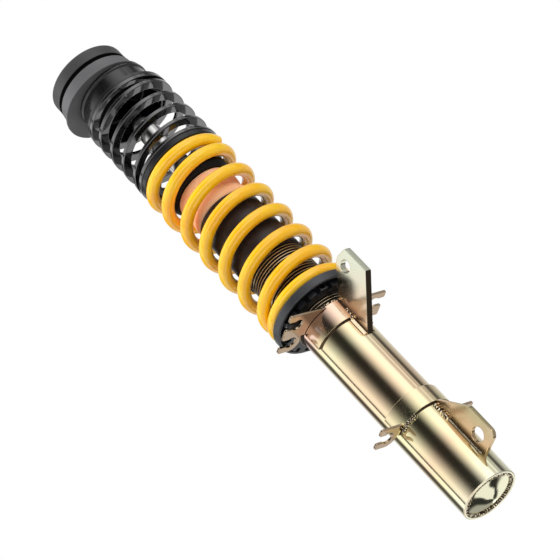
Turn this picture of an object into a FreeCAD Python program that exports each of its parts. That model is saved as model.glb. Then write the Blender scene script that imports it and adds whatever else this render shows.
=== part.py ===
"""Front suspension coilover strut, clamp-in foot, with a main and a helper spring.

Millimetres. The origin is the centre of the tube's foot, +Z runs up along the strut,
and +X is the side that carries the link plate and the locating tab.
"""
import FreeCAD, Part
import math
import os
import re
import Sketcher

Vector = FreeCAD.Vector

# Driving dimensions: alias, millimetres (or a count, or degrees), what it is
SIZES = [
    ("tube_od", 55.0, "outside diameter of the strut tube, clamped by the knuckle"),
    ("tube_wall", 2.5, "wall of the strut tube"),
    ("tube_top", 224.0, "height of the plain strut tube, where the threaded tube starts"),
    ("cap_inset", 1.2, "how far the foot cap lies inside the tube"),
    ("cap_height", 13.0, "height of the foot cap"),
    ("cap_dish_radius", 38.0, "radius of the hollow in the foot cap"),
    ("cap_dish_depth", 9.0, "depth of the hollow in the foot cap"),
    ("weld_radius", 1.3, "radius of the weld beads round the tube"),
    ("plate_weld_radius", 1.7, "radius of the weld beads along the two plates"),
    ("plate_weld_start", 3.0, "from a plate's lower end up to its weld beads"),
    ("plate_weld_stop", 2.0, "from a plate's weld beads up to the bracket over them"),
    ("band_wall", 2.5, "sheet thickness of both brackets"),
    ("band_angle", 186.0, "degrees of the tube that a bracket's band goes round"),
    ("upper_band_drop", 0.5, "from the upper bracket up to the top of the plain tube"),
    ("upper_band_height", 22.5, "height of the upper bracket's band"),
    ("bracket_turn", -1.75, "degrees by which both brackets are turned from the plates"),
    ("ear_root_back", 1.0, "how far the ears' roots reach behind the axis"),
    ("upper_ear_front", 25.5, "front edge of the upper bracket's ears, along X"),
    ("upper_ear_reach", 28.0, "how far the upper bracket's ears stand out from the tube"),
    ("lower_band_low", 88.4, "lower edge of the lower bracket's band"),
    ("lower_band_height", 19.6, "height of the lower bracket's band"),
    ("lower_ear_front", 10.8, "front edge of the lower bracket's ears, along X"),
    ("lower_ear_reach", 26.0, "how far the lower bracket's ears stand out from the tube"),
    ("clip_slot_inset", 11.3, "from an ear's front edge to the middle of its first slot"),
    ("clip_slot_pitch", 20.6, "from one clip slot of an ear to the next"),
    ("clip_slot_width", 8.8, "mouth of the slots that take hose and cable clips"),
    ("clip_eye_radius", 5.8, "radius of a clip slot's inner end"),
    ("clip_slot_depth", 11.2, "from an ear's tip to the centre of a slot's inner end"),
    ("hook_wall", 5.0, "width of the hook that closes an ear behind its last slot"),
    ("plate_foot_round", 2.0, "how far a plate's edge runs out beside its bracket's band"),
    ("link_plate_thickness", 6.5, "thickness of the stabiliser link's plate"),
    ("link_plate_reach", 47.7, "how far the link plate stands out from the tube"),
    ("link_plate_tail", 22.0, "how far the link plate runs down below the upper bracket"),
    ("link_plate_shoulder", 7.0, "from the bracket's foot up to the plate's lower corner"),
    ("link_shoulder_round", 1.5, "radius of that corner"),
    ("link_plate_rise", 19.1, "from the upper bracket up to the link plate's highest point"),
    ("link_tip_width", 12.0, "width of the bevel at the plate's upper corner"),
    ("link_tip_height", 4.0, "height of that bevel"),
    ("link_head_width", 21.6, "width of the plate's head, round the link's hole"),
    ("link_neck_drop", 4.0, "from the highest point down to where the top edge turns down"),
    ("link_neck_width", 4.0, "width of the bevel at that turn"),
    ("link_neck_height", 2.6, "height of the bevel at that turn"),
    ("link_hole_inset", 13.7, "from the plate's outer edge to the centre of the link's hole"),
    ("link_hole_drop", 12.6, "from the highest point down to the centre of the link's hole"),
    ("link_hole_radius", 6.05, "radius of the link's hole, for a 12 mm ball stud"),
    ("tab_thickness", 4.0, "thickness of the locating tab"),
    ("tab_reach", 25.3, "how far the locating tab stands out from the tube"),
    ("tab_low", 20.5, "lower edge of the locating tab"),
    ("tab_edge", 34.3, "height of the tab's outer edge"),
    ("tab_top_gap", 1.0, "from the tab up to the lower bracket"),
    ("tab_corner", 7.0, "radius of the tab's lower corner"),
    ("tab_hole_inset", 14.6, "from the tab's outer edge to the centre of its hole"),
    ("tab_hole_rise", 15.1, "from the tab's lower edge up to the centre of its hole"),
    ("tab_hole_radius", 7.0, "radius of the tab's hole"),
    ("thread_proud", 1.4, "how far the thread's crests stand out from the plain tube"),
    ("thread_depth", 1.25, "depth of the thread"),
    ("thread_pitch", 3.0, "pitch of the thread"),
    ("thread_drop", 69.2, "from the threaded tube's top up to the top of the main spring"),
    ("perch_height", 21.3, "from the plain tube's top up to where the main spring stands"),
    ("nut_wall", 10.55, "wall of the adjuster nut"),
    ("nut_height", 10.5, "height of the adjuster nut"),
    ("nut_slots", 20, "number of spanner slots in the adjuster nut"),
    ("nut_slot_width", 4.4, "width of a spanner slot"),
    ("nut_slot_depth", 4.5, "radial depth of a spanner slot"),
    ("nut_slot_height", 6.5, "height of a spanner slot"),
    ("screw_radius", 2.2, "radius of the nut's locking screw"),
    ("screw_height", 3.8, "height of the screw above the nut's underside"),
    ("screw_angle", -93.0, "degrees about the strut at which the screw lies"),
    ("spare_hole_radius", 2.6, "radius of the empty hole for a second screw"),
    ("screw_socket_radius", 1.25, "across-corner radius of the screw's hexagon socket"),
    ("screw_socket_depth", 2.4, "depth of that socket"),
    ("screw_proud", 1.2, "how far the screw stands out of the nut"),
    ("seat_web", 2.3, "thickness of the lower spring seat's flat ring"),
    ("seat_rim_height", 8.5, "height of the seat's hanging rim"),
    ("seat_rim_wall", 2.6, "wall of the seat's hanging rim"),
    ("seat_bore_play", 1.5, "radial play of the seat over the thread"),
    ("seat_ribs", 18, "number of stiffening ribs under the seat"),
    ("seat_rib_wall", 1.8, "thickness of a rib"),
    ("seat_rib_recess", 2.4, "from the rim's lower edge up to the ribs"),
    ("seat_rib_gap", 0.5, "gap between the nut and the ribs"),
    ("seat_rib_play", 0.1, "gap between the ribs and the rim"),
    ("spring_room", 4.3, "gap between the thread and the main spring"),
    ("main_wire", 12.0, "wire diameter of the main spring"),
    ("main_length", 198.9, "length of the main spring between its seats"),
    ("main_turns", 7.47, "turns of the main spring, end to end"),
    ("main_foot_turn", 0.25, "turns of its flat foot before the front"),
    ("main_foot_gap", 1.478, "height left over its foot's end, under the next coil"),
    ("main_head_gap", 0.751, "height left under its head's end, over the last coil"),
    ("helper_step", 1.5, "how far the helper spring's outside lies within the main one's"),
    ("helper_width", 9.0, "radial width of the helper spring's flat wire"),
    ("helper_wire", 3.8, "thickness of the helper spring's flat wire"),
    ("helper_length", 84.3, "length of the helper spring between its seats"),
    ("helper_turns", 5.82, "turns of the helper spring, end to end"),
    ("helper_foot_turn", 0.44, "turns of its flat foot before the front"),
    ("helper_foot_gap", 0.74475, "height left over its foot's end, under the next coil"),
    ("helper_head_gap", 0.89425, "height left under its head's end, over the last coil"),
    ("adapter_step", 0.5, "how far the ring between the springs lies within the helper"),
    ("adapter_thickness", 6.0, "thickness of that ring's flange"),
    ("adapter_wall", 4.6, "wall of that ring's lips"),
    ("adapter_lip", 4.0, "height of the lips that centre the springs"),
    ("lip_draft", 0.8, "how far a lip tapers inwards"),
    ("spring_play", 0.6, "radial play between a spring and the lip that centres it"),
    ("top_seat_step", 0.3, "how far the upper spring seat's rim lies within the helper"),
    ("top_seat_rim_height", 3.8, "height of the upper spring seat's rim"),
    ("top_seat_bevel", 1.2, "rise of the rim's top towards the neck"),
    ("top_seat_shoulder", 7.7, "from the helper's outside in to the upper seat's neck"),
    ("top_seat_wall", 3.0, "wall of the upper spring seat"),
    ("top_seat_taper", 2.1, "how far the upper seat's inside narrows upwards"),
    ("top_seat_inside", 4.0, "height above the rim's foot at which it starts to narrow"),
    ("top_seat_lip", 8.0, "height of the lip inside the helper spring"),
    ("top_seat_height", 25.5, "height of the upper spring seat above the helper spring"),
    ("top_seat_floor", 8.0, "thickness of the upper spring seat at the rod"),
    ("bearing_offset", 8.0, "distance of the strut bearing's axis from the rod"),
    ("bearing_offset_angle", 222.0, "direction of that distance, degrees about Z"),
    ("bearing_bore", 50.0, "bore of the strut bearing"),
    ("bearing_section", 15.5, "radial section of the bearing's lower shell"),
    ("flange_lip", 4.1, "how far the bearing's flange stands out from the lower shell"),
    ("flange_thickness", 3.2, "thickness of that flange"),
    ("lower_shell_height", 12.3, "height of the bearing's lower shell"),
    ("shell_bevel", 0.6, "bevel on the shells' edges beside the seal"),
    ("bearing_gap", 5.0, "height between the bearing's shells, filled by seal and balls"),
    ("seal_inset", 0.7, "how far the seal lies within the lower shell"),
    ("seal_width", 3.0, "radial width of the bearing's seal"),
    ("upper_shell_inset", 1.1, "how far the upper shell lies within the lower shell"),
    ("upper_shell_height", 13.1, "height of the bearing's upper shell"),
    ("upper_shell_bevel", 1.6, "bevel on the upper shell's top edge"),
    ("upper_shell_funnel", 3.0, "bevel at the top of the upper shell's bore"),
    ("ball_inset", 5.6, "from the bearing's bore out to the circle of balls"),
    ("ball_count", 24, "number of balls in the strut bearing"),
    ("ball_play", 0.1, "play of a ball between the shells"),
    ("cage_thickness", 1.6, "thickness of the ball cage"),
    ("cage_web", 0.6, "metal of the cage on each side of a ball"),
    ("rod_od", 22.0, "diameter of the piston rod"),
    ("rod_stem_od", 14.0, "diameter of the rod's threaded ends"),
    ("rod_stem_length", 22.0, "length of the upper threaded end above its seat"),
    ("rod_bevel", 1.0, "bevel at the rod's ends"),
    ("rod_end_proud", 2.0, "how far the lower threaded end stands out of its nut"),
    ("rod_socket_radius", 3.5, "across-corner radius of the hexagon in the rod's end"),
    ("rod_socket_depth", 6.0, "depth of that hexagon"),
    ("top_nut_radius", 11.0, "across-corner radius of the top nut"),
    ("top_nut_height", 11.0, "height of the top nut"),
    ("washer_od", 28.0, "outside diameter of the top washer"),
    ("washer_height", 2.5, "thickness of the top washer"),
    ("reserve_gap", 6.0, "gap between the strut tube's bore and the pressure tube"),
    ("pressure_tube_wall", 1.5, "wall of the pressure tube"),
    ("valve_rim", 3.0, "height of the base valve's rim on the foot cap"),
    ("valve_cone", 6.8, "height of the base valve's cone, up to the pressure tube"),
    ("base_valve_height", 9.0, "height of the base valve's plate"),
    ("piston_height", 14.0, "height of the piston"),
    ("piston_nut_height", 8.0, "height of the nut that holds the piston"),
    ("rebound_room", 34.0, "from the piston up to the rod guide"),
    ("guide_height", 20.0, "height of the rod guide above its shoulder"),
    ("guide_step", 4.0, "from the guide's shoulder up to the end of the pressure tube"),
    ("guide_spigot", 10.0, "how far the guide goes down into the pressure tube"),
    ("guide_cone", 2.0, "height of the cone between that tube and the strut tube's bore"),
    ("rod_seal_height", 5.0, "height of the rod seal"),
    ("gland_nut_height", 7.6, "height of the gland nut"),
    ("gland_inset", 0.4, "how far the gland nut lies inside the threaded tube"),
    ("rest_gap", 0.2, "gap that is left between a spring's end and its seat"),
    ("running_clearance", 0.05, "radial clearance of a running fit"),
    ("free_clearance", 0.3, "clearance between pieces that only pass each other"),
    ("dust_cap_wall", 1.35, "wall of the dust cap over the thread"),
    ("dust_cap_cover", 73.2, "how much of the thread the dust cap covers"),
    ("dust_cap_gap", 0.6, "gap between the threaded tube and the dust cap's roof"),
    ("dust_cap_roof", 1.8, "thickness of the dust cap's roof"),
    ("dust_cap_bevel", 1.0, "bevel on the dust cap's top edge"),
    ("bump_stop_height", 35.0, "height of the bump stop"),
    ("bump_stop_groove", 2.6, "depth of the groove between the bump stop's bulges"),
    ("bump_stop_toe", 2.0, "how far the bump stop's ends lie within its groove"),
    ("bump_waist_height", 13.4, "height of the groove above the bump stop's foot"),
    ("stop_cup_flare", 3.2, "how far the cup on the bump stop stands out from its bulges"),
    ("stop_cup_height", 10.0, "height of the cup on the bump stop"),
    ("stop_cup_wall", 2.0, "wall of the cup on the bump stop"),
    ("stop_cup_floor", 3.0, "thickness of the cup's floor"),
]

# Direction of the springs' front, about Z: their turns are counted from there
SPRING_FRONT = math.radians(-48.0)
# Flats of a rolled thread, as shares of the pitch: on its crest and each side of its root
RIDGE_CREST = 0.2
RIDGE_ROOT = 0.25
# The bead under the lower band, in degrees about Z
BAND_WELD_START = -86.0
BAND_WELD_SPAN = 40.0
# Half of the bend at each end of a spring's climb, in turns
SPRING_KNEE = 0.08
# The empty screw hole lies this many slots round from the locking screw
SPARE_HOLE_STEPS = 4
# How far a cutting tool runs on past the metal
PAST = 1.0
# How deep a weld bead's centre lies in the corner that it fills, as shares of its radius
FOOT_WELD_INSIDE = 0.3
PLATE_WELD_OUTSIDE = 0.4
BAND_WELD_OUTSIDE = 0.5
BAND_WELD_BELOW = 0.6

doc = FreeCAD.newDocument("coilover")
sheet = doc.addObject("Spreadsheet::Sheet", "Sizes")
for row, (alias, number, note) in enumerate(SIZES, start=1):
    sheet.set(f"A{row}", alias)
    sheet.set(f"B{row}", str(number))
    sheet.setAlias(f"B{row}", alias)
    sheet.set(f"C{row}", note)
doc.recompute()

ALIASES = {alias for alias, number, note in SIZES}
parts = {}

# Radii, each worked out from the one inside it or around it
TUBE_R = "(tube_od / 2)"
TUBE_BORE = "(tube_od / 2 - tube_wall)"
BAND_R = "(tube_od / 2 + band_wall)"
THREAD_R = "(tube_od / 2 + thread_proud)"
THREAD_FIT = f"({THREAD_R} + running_clearance)"
NUT_R = f"({THREAD_FIT} + nut_wall)"
MAIN_IN = f"({THREAD_R} + spring_room)"
MAIN_R = f"({MAIN_IN} + main_wire)"
MAIN_LIP = f"({MAIN_IN} - spring_play)"
HELPER_R = f"({MAIN_R} - helper_step)"
HELPER_LIP = f"({HELPER_R} - helper_width - spring_play)"
ROD_R = "(rod_od / 2)"
ROD_FIT = f"({ROD_R} + running_clearance)"
ROD_ROOM = f"({ROD_R} + free_clearance)"
STEM_R = "(rod_stem_od / 2)"
STEM_FIT = f"({STEM_R} + running_clearance)"
PRESSURE_R = f"({TUBE_BORE} - reserve_gap)"
PRESSURE_IN = f"({PRESSURE_R} - pressure_tube_wall)"

# Heights, each worked out from the one below it or above it
UPPER_BAND_HIGH = "(tube_top - upper_band_drop)"
UPPER_BAND_LOW = f"({UPPER_BAND_HIGH} - upper_band_height)"
SPRING_SEAT = "(tube_top + perch_height)"
MAIN_TOP = f"({SPRING_SEAT} + main_length)"
THREAD_TOP = f"({MAIN_TOP} - thread_drop)"
ADAPTER_HIGH = f"({MAIN_TOP} + adapter_thickness)"
TOP_RIM_LOW = f"({ADAPTER_HIGH} + helper_length)"
TOP_SEAT_HIGH = f"({TOP_RIM_LOW} + top_seat_height)"
TOP_SEAT_FLOOR = f"({TOP_SEAT_HIGH} - top_seat_floor)"

# Where the strut bearing's axis stands, away from the rod
BEARING_X = "bearing_offset * cos(bearing_offset_angle * 1 deg)"
BEARING_Y = "bearing_offset * sin(bearing_offset_angle * 1 deg)"


def bound(formula):
    """A formula of sheet names, as an expression that any object can hold."""
    def in_sheet(word):
        return "Sizes." + word.group(0) if word.group(0) in ALIASES else word.group(0)
    return re.sub(r"[a-z_]+", in_sheet, str(formula))


def size(formula):
    """The number that a formula of sheet names gives now."""
    return float(sheet.evalExpression(bound(formula)))


def keep(label, shape_object):
    """Make an object a sub-part of the strut under its own label."""
    shape_object.Label = label
    parts[label] = shape_object
    return shape_object


def place(shape_object, x="0", y="0", z="0"):
    """Tie an object's position to the sheet."""
    for axis, formula in zip("xyz", (x, y, z)):
        shape_object.setExpression(f"Placement.Base.{axis}", bound(formula))
    return shape_object


def cylinder(name, radius, height, low="0", x="0", y="0"):
    solid = doc.addObject("Part::Cylinder", name)
    solid.setExpression("Radius", bound(radius))
    solid.setExpression("Height", bound(height))
    return place(solid, x, y, low)


def box(name, length, width, height, x="0", y="0", z="0"):
    solid = doc.addObject("Part::Box", name)
    solid.setExpression("Length", bound(length))
    solid.setExpression("Width", bound(width))
    solid.setExpression("Height", bound(height))
    return place(solid, x, y, z)


def hexagon(name, radius, height, low):
    """A hexagon bar from its across-corner radius."""
    bar = doc.addObject("Part::Prism", name)
    bar.Polygon = 6
    bar.setExpression("Circumradius", bound(radius))
    bar.setExpression("Height", bound(height))
    return place(bar, z=low)


def cut(name, base, tool):
    result = doc.addObject("Part::Cut", name)
    result.Base = base
    result.Tool = tool
    return result


def fuse(name, shapes):
    result = doc.addObject("Part::MultiFuse", name)
    result.Shapes = shapes
    return result


def ring(name, outer, inner, height, low, x="0", y="0"):
    """A plain ring; its hole is cut right through both faces."""
    body = cylinder(name + "_outside", outer, height, low, x, y)
    hole = cylinder(name + "_hole", inner, f"({height}) + 2 * {PAST}", f"({low}) - {PAST}",
                    x, y)
    return cut(name, body, hole)


def feature(label, shape):
    """A sub-part whose shape the lines above it worked out from the sheet."""
    result = doc.addObject("Part::Feature", label)
    result.Shape = shape
    return keep(label, result)


def sketch_on(body, role, name):
    """An empty sketch on one of a body's own origin planes."""
    plane = [f for f in body.Origin.OriginFeatures if f.Role == role][0]
    sketch = body.newObject("Sketcher::SketchObject", name)
    sketch.AttachmentSupport = [(plane, "")]
    sketch.MapMode = "FlatFace"
    return sketch


def outline(sketch, corners):
    """A closed outline whose corners are each tied to two formulas of the sheet."""
    count = len(corners)
    points = [Vector(size(across), size(up), 0) for across, up in corners]
    for i in range(count):
        sketch.addGeometry(Part.LineSegment(points[i], points[(i + 1) % count]), False)
    for i in range(count):
        sketch.addConstraint(Sketcher.Constraint("Coincident", i, 2, (i + 1) % count, 1))
    for i, (across, up) in enumerate(corners):
        for kind, formula, number in (("DistanceX", across, points[i].x),
                                      ("DistanceY", up, points[i].y)):
            index = sketch.addConstraint(Sketcher.Constraint(kind, -1, 1, i, 1, number))
            name = f"{kind}_{i}"
            sketch.renameConstraint(index, name)
            sketch.setExpression(f"Constraints.{name}", bound(formula))


def turned_body(name, corners, x="0", y="0"):
    """A body turned about its own Z axis from an outline of (radius, height)."""
    body = doc.addObject("PartDesign::Body", name)
    sketch = sketch_on(body, "XZ_Plane", name + "_profile")
    outline(sketch, corners)
    turn = body.newObject("PartDesign::Revolution", name + "_turn")
    turn.Profile = sketch
    turn.ReferenceAxis = (sketch, ["V_Axis"])
    turn.Angle = 360.0
    return place(body, x, y)


def turned(label, corners, x="0", y="0"):
    """A turned body that is a sub-part by itself."""
    return keep(label, turned_body(label, corners, x, y))


def round_edges(body, base, chooser, radius_formula):
    """Round the edges of a feature that the chooser accepts."""
    doc.recompute()
    names = [f"Edge{i + 1}" for i, e in enumerate(base.Shape.Edges) if chooser(e)]
    softened = body.newObject("PartDesign::Fillet", base.Name + "_soft")
    softened.Base = (base, names)
    softened.setExpression("Radius", bound(radius_formula))
    body.Tip = softened
    return softened


def upright_plate(label, corners, thickness, hole_x, hole_z, hole_radius):
    """A flat plate in the XZ plane, with one round hole."""
    body = doc.addObject("PartDesign::Body", label)
    sketch = sketch_on(body, "XZ_Plane", label + "_outline")
    outline(sketch, corners)
    pad = body.newObject("PartDesign::Pad", label + "_pad")
    pad.Profile = sketch
    pad.SideType = "Symmetric"
    pad.setExpression("Length", bound(thickness))
    circle = sketch_on(body, "XZ_Plane", label + "_hole_circle")
    centre = Vector(size(hole_x), size(hole_z), 0)
    circle.addGeometry(Part.Circle(centre, Vector(0, 0, 1), size(hole_radius)), False)
    for kind, formula in (("DistanceX", hole_x), ("DistanceY", hole_z)):
        index = circle.addConstraint(Sketcher.Constraint(kind, -1, 1, 0, 3, size(formula)))
        circle.renameConstraint(index, kind)
        circle.setExpression(f"Constraints.{kind}", bound(formula))
    index = circle.addConstraint(Sketcher.Constraint("Radius", 0, size(hole_radius)))
    circle.renameConstraint(index, "HoleRadius")
    circle.setExpression("Constraints.HoleRadius", bound(hole_radius))
    pocket = body.newObject("PartDesign::Pocket", label + "_hole")
    pocket.Profile = circle
    pocket.SideType = "Symmetric"
    pocket.setExpression("Length", bound(f"({thickness}) + 2 * {PAST}"))
    body.Tip = pocket
    keep(label, body)
    return body, pocket


def along_y(edge, x, z):
    """Whether an edge runs along Y through the point (x, z)."""
    ends = [v.Point for v in edge.Vertexes]
    if len(ends) != 2:
        return False
    return all(abs(p.x - x) < 0.01 and abs(p.z - z) < 0.01 for p in ends)


# The strut tube and the dished cap that closes its foot
turned("strut_tube", [(TUBE_BORE, "0"), (TUBE_R, "0"),
                      (TUBE_R, "tube_top"), (TUBE_BORE, "tube_top")])

cap_blank = cylinder("cap_blank", TUBE_BORE, "cap_height", "cap_inset")
cap_hollow = doc.addObject("Part::Sphere", "cap_hollow")
cap_hollow.setExpression("Radius", bound("cap_dish_radius"))
place(cap_hollow, z="cap_inset + cap_dish_depth - cap_dish_radius")
keep("foot_cap", cut("foot_cap", cap_blank, cap_hollow))

foot_bead = doc.addObject("Part::Torus", "foot_bead")
foot_bead.setExpression("Radius1", bound(f"{TUBE_BORE} - weld_radius * {FOOT_WELD_INSIDE}"))
foot_bead.setExpression("Radius2", bound("weld_radius"))
place(foot_bead, z="cap_inset")
foot_room = cylinder("foot_room", "tube_od", "tube_od", "0")
foot_bead_up = doc.addObject("Part::Common", "foot_bead_up")
foot_bead_up.Base = foot_bead
foot_bead_up.Tool = foot_room
foot_metal = fuse("foot_metal", [parts["strut_tube"], parts["foot_cap"]])
keep("foot_weld", cut("foot_weld", foot_bead_up, foot_metal))


# The two sheet brackets: a band round half of the tube, with an ear on each side
def bracket(side_name, band_low, ear_low, slot_count):
    """A bracket that is welded to the tube, open towards -X. Each ear has clip slots in its
    tip, and ends behind the last one in a hook that stands clear of the tube."""
    label = side_name + "_bracket"
    ear_front = side_name + "_ear_front"
    ear_tip = f"({TUBE_R} + {side_name}_ear_reach)"
    eye_centre = f"({ear_tip} - clip_slot_depth)"
    hook_r = "(clip_eye_radius + hook_wall)"
    slot_places = [f"({ear_front} - clip_slot_inset - {index} * clip_slot_pitch)"
                   for index in range(slot_count)]
    last_slot = slot_places[-1]
    band_height = side_name + "_band_height"
    half_turn = doc.addObject("Part::Cylinder", label + "_half_turn")
    half_turn.setExpression("Radius", bound(BAND_R))
    half_turn.setExpression("Height", bound(band_height))
    half_turn.setExpression("Angle", bound("band_angle"))
    half_turn.Placement = FreeCAD.Placement(
        Vector(), FreeCAD.Rotation(Vector(0, 0, 1), -size("band_angle") / 2))
    place(half_turn, z=band_low)
    metal = [half_turn,
             box(label + "_ears", f"{ear_front} + ear_root_back", f"2 * {ear_tip}", "band_wall",
                 "-ear_root_back", f"-{ear_tip}", ear_low)]
    tools = [cylinder(label + "_tube_room", TUBE_R, f"{band_height} + 2 * {PAST}",
                      f"{band_low} - {PAST}")]
    for side, sign, outer_y, mouth_y in (
            ("left", "-1", f"-{ear_tip}", f"-{ear_tip} - {PAST}"),
            ("right", "1", eye_centre, eye_centre)):
        stem = f"{label}_{side}"
        metal.append(cylinder(stem + "_hook", hook_r, "band_wall", ear_low, last_slot,
                              f"{sign} * {eye_centre}"))
        metal.append(box(stem + "_claw", f"2 * {hook_r}", "clip_slot_depth", "band_wall",
                         f"{last_slot} - {hook_r}", outer_y, ear_low))
        for index, slot_x in enumerate(slot_places):
            tools.append(cylinder(f"{stem}_eye_{index}", "clip_eye_radius",
                                  f"band_wall + 2 * {PAST}", f"{ear_low} - {PAST}", slot_x,
                                  f"{sign} * {eye_centre}"))
            tools.append(box(f"{stem}_mouth_{index}", "clip_slot_width",
                             f"clip_slot_depth + {PAST}", f"band_wall + 2 * {PAST}",
                             f"{slot_x} - clip_slot_width / 2", mouth_y,
                             f"{ear_low} - {PAST}"))
    sheet_metal = cut(label, fuse(label + "_blank", metal), fuse(label + "_tools", tools))
    sheet_metal.setExpression("Placement.Rotation.Angle", bound("bracket_turn"))
    keep(label, sheet_metal)


bracket("upper", UPPER_BAND_LOW, f"({UPPER_BAND_HIGH} - band_wall)", 2)
bracket("lower", "lower_band_low", "lower_band_low", 1)

# The stabiliser link's plate stands on the tube and beside the upper bracket's band
LINK_OUT = f"({TUBE_R} + link_plate_reach)"
LINK_FOOT = f"({UPPER_BAND_LOW} - link_plate_tail)"
LINK_SHOULDER = f"({UPPER_BAND_LOW} + link_plate_shoulder)"
LINK_CROWN = f"({UPPER_BAND_HIGH} + link_plate_rise)"
LINK_NECK_X = f"({LINK_OUT} - link_head_width)"
LINK_NECK_Z = f"({LINK_CROWN} - link_neck_drop)"
link_plate, link_pocket = upright_plate(
    "link_plate",
    [(TUBE_R, LINK_FOOT),
     (LINK_OUT, LINK_SHOULDER),
     (LINK_OUT, f"{LINK_CROWN} - link_tip_height"),
     (f"{LINK_OUT} - link_tip_width", LINK_CROWN),
     (f"{LINK_NECK_X} + link_neck_width", f"{LINK_NECK_Z} + link_neck_height"),
     (LINK_NECK_X, LINK_NECK_Z),
     (f"{BAND_R} + plate_foot_round", UPPER_BAND_HIGH),
     (BAND_R, UPPER_BAND_HIGH),
     (BAND_R, UPPER_BAND_LOW),
     (TUBE_R, UPPER_BAND_LOW)],
    "link_plate_thickness", f"{LINK_OUT} - link_hole_inset", f"{LINK_CROWN} - link_hole_drop",
    "link_hole_radius")
round_edges(link_plate, link_pocket,
            lambda e: along_y(e, size(LINK_OUT), size(LINK_SHOULDER)), "link_shoulder_round")

# The tab that lines the strut up in its knuckle
TAB_OUT = f"({TUBE_R} + tab_reach)"
TAB_TOP = "(lower_band_low - tab_top_gap)"
tab, tab_pocket = upright_plate(
    "locating_tab",
    [(TUBE_R, "tab_low"), (TAB_OUT, "tab_low"), (TAB_OUT, "tab_low + tab_edge"),
     (f"{BAND_R} + plate_foot_round", TAB_TOP), (TUBE_R, TAB_TOP)],
    "tab_thickness", f"{TAB_OUT} - tab_hole_inset", "tab_low + tab_hole_rise",
    "tab_hole_radius")
round_edges(tab, tab_pocket,
            lambda e: along_y(e, size(TAB_OUT), size("tab_low")), "tab_corner")

# Weld beads: both sides of the two plates' feet, and under the lower band
beads = []
for name, thickness, low, high in (
        ("link_bead", "link_plate_thickness", LINK_FOOT, UPPER_BAND_LOW),
        ("tab_bead", "tab_thickness", "tab_low", TAB_TOP)):
    length = f"{high} - {low} - plate_weld_start - plate_weld_stop"
    for side, sign in (("left", "-1"), ("right", "1")):
        beside = f"{sign} * ({thickness} / 2 + plate_weld_radius * {PLATE_WELD_OUTSIDE})"
        beads.append(cylinder(f"{name}_{side}", "plate_weld_radius", length,
                              f"{low} + plate_weld_start", TUBE_R, beside))
welded_metal = fuse("welded_metal", [parts["strut_tube"], parts["link_plate"],
                                     parts["locating_tab"]])
keep("plate_welds", cut("plate_welds", fuse("plate_beads", beads), welded_metal))

band_bead = doc.addObject("Part::Torus", "band_bead")
band_bead.setExpression("Radius1", bound(f"{TUBE_R} + weld_radius * {BAND_WELD_OUTSIDE}"))
band_bead.setExpression("Radius2", bound("weld_radius"))
band_bead.Angle3 = BAND_WELD_SPAN
band_bead.Placement = FreeCAD.Placement(
    Vector(), FreeCAD.Rotation(Vector(0, 0, 1), BAND_WELD_START))
place(band_bead, z=f"lower_band_low - weld_radius * {BAND_WELD_BELOW}")
band_metal = fuse("band_metal", [parts["strut_tube"], parts["lower_bracket"]])
keep("bracket_weld", cut("bracket_weld", band_bead, band_metal))


# The threaded tube: its thread is drawn as rings of the real pitch and depth
def threaded_tube_shape():
    crest = size(THREAD_R)
    root = crest - size("thread_depth")
    bore = size(TUBE_BORE)
    low = size("tube_top")
    high = size(THREAD_TOP)
    pitch = size("thread_pitch")
    flank = pitch * (1 - RIDGE_CREST - RIDGE_ROOT) / 2
    points = [Vector(bore, 0, low), Vector(root, 0, low)]
    for turn in range(int((high - low) / pitch) - 1):
        start = low + pitch * (turn + RIDGE_ROOT)
        points.append(Vector(root, 0, start))
        points.append(Vector(crest, 0, start + flank))
        points.append(Vector(crest, 0, start + flank + pitch * RIDGE_CREST))
        points.append(Vector(root, 0, start + pitch * (1 - RIDGE_ROOT)))
    points.append(Vector(root, 0, high))
    points.append(Vector(bore, 0, high))
    face = Part.Face(Part.makePolygon(points + [points[0]]))
    return face.revolve(Vector(), Vector(0, 0, 1), 360)


feature("threaded_tube", threaded_tube_shape())

# The adjuster nut: a threaded collar with spanner slots round its lower edge
NUT_HIGH = f"({SPRING_SEAT} - seat_web)"
NUT_LOW = f"({NUT_HIGH} - nut_height)"


def round_the_strut(name, count_name, length, width, height, start, low):
    """Boxes that point away from the axis, evenly spaced on both sides of the locking screw."""
    boxes = []
    count = int(size(count_name))
    for index in range(count):
        angle = size("screw_angle") + 360.0 * (index + 0.5) / count
        block = box(f"{name}_{index}", length, width, height)
        block.Placement = FreeCAD.Placement(
            Vector(), FreeCAD.Rotation(Vector(0, 0, 1), angle))
        along = f"cos({angle:.6f} deg)"
        across = f"sin({angle:.6f} deg)"
        place(block, f"({start}) * {along} + {width} / 2 * {across}",
              f"({start}) * {across} - {width} / 2 * {along}", low)
        boxes.append(block)
    return boxes


def screw_pin(pin, start, angle="screw_angle"):
    """Lay a cylinder or prism along a screw's axis, outwards from a radius."""
    lie = (FreeCAD.Rotation(Vector(0, 0, 1), size(angle))
           * FreeCAD.Rotation(Vector(0, 1, 0), 90))
    pin.Placement = FreeCAD.Placement(Vector(), lie)
    return place(pin, f"{start} * cos(({angle}) * 1 deg)",
                 f"{start} * sin(({angle}) * 1 deg)", f"{NUT_LOW} + screw_height")


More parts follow.
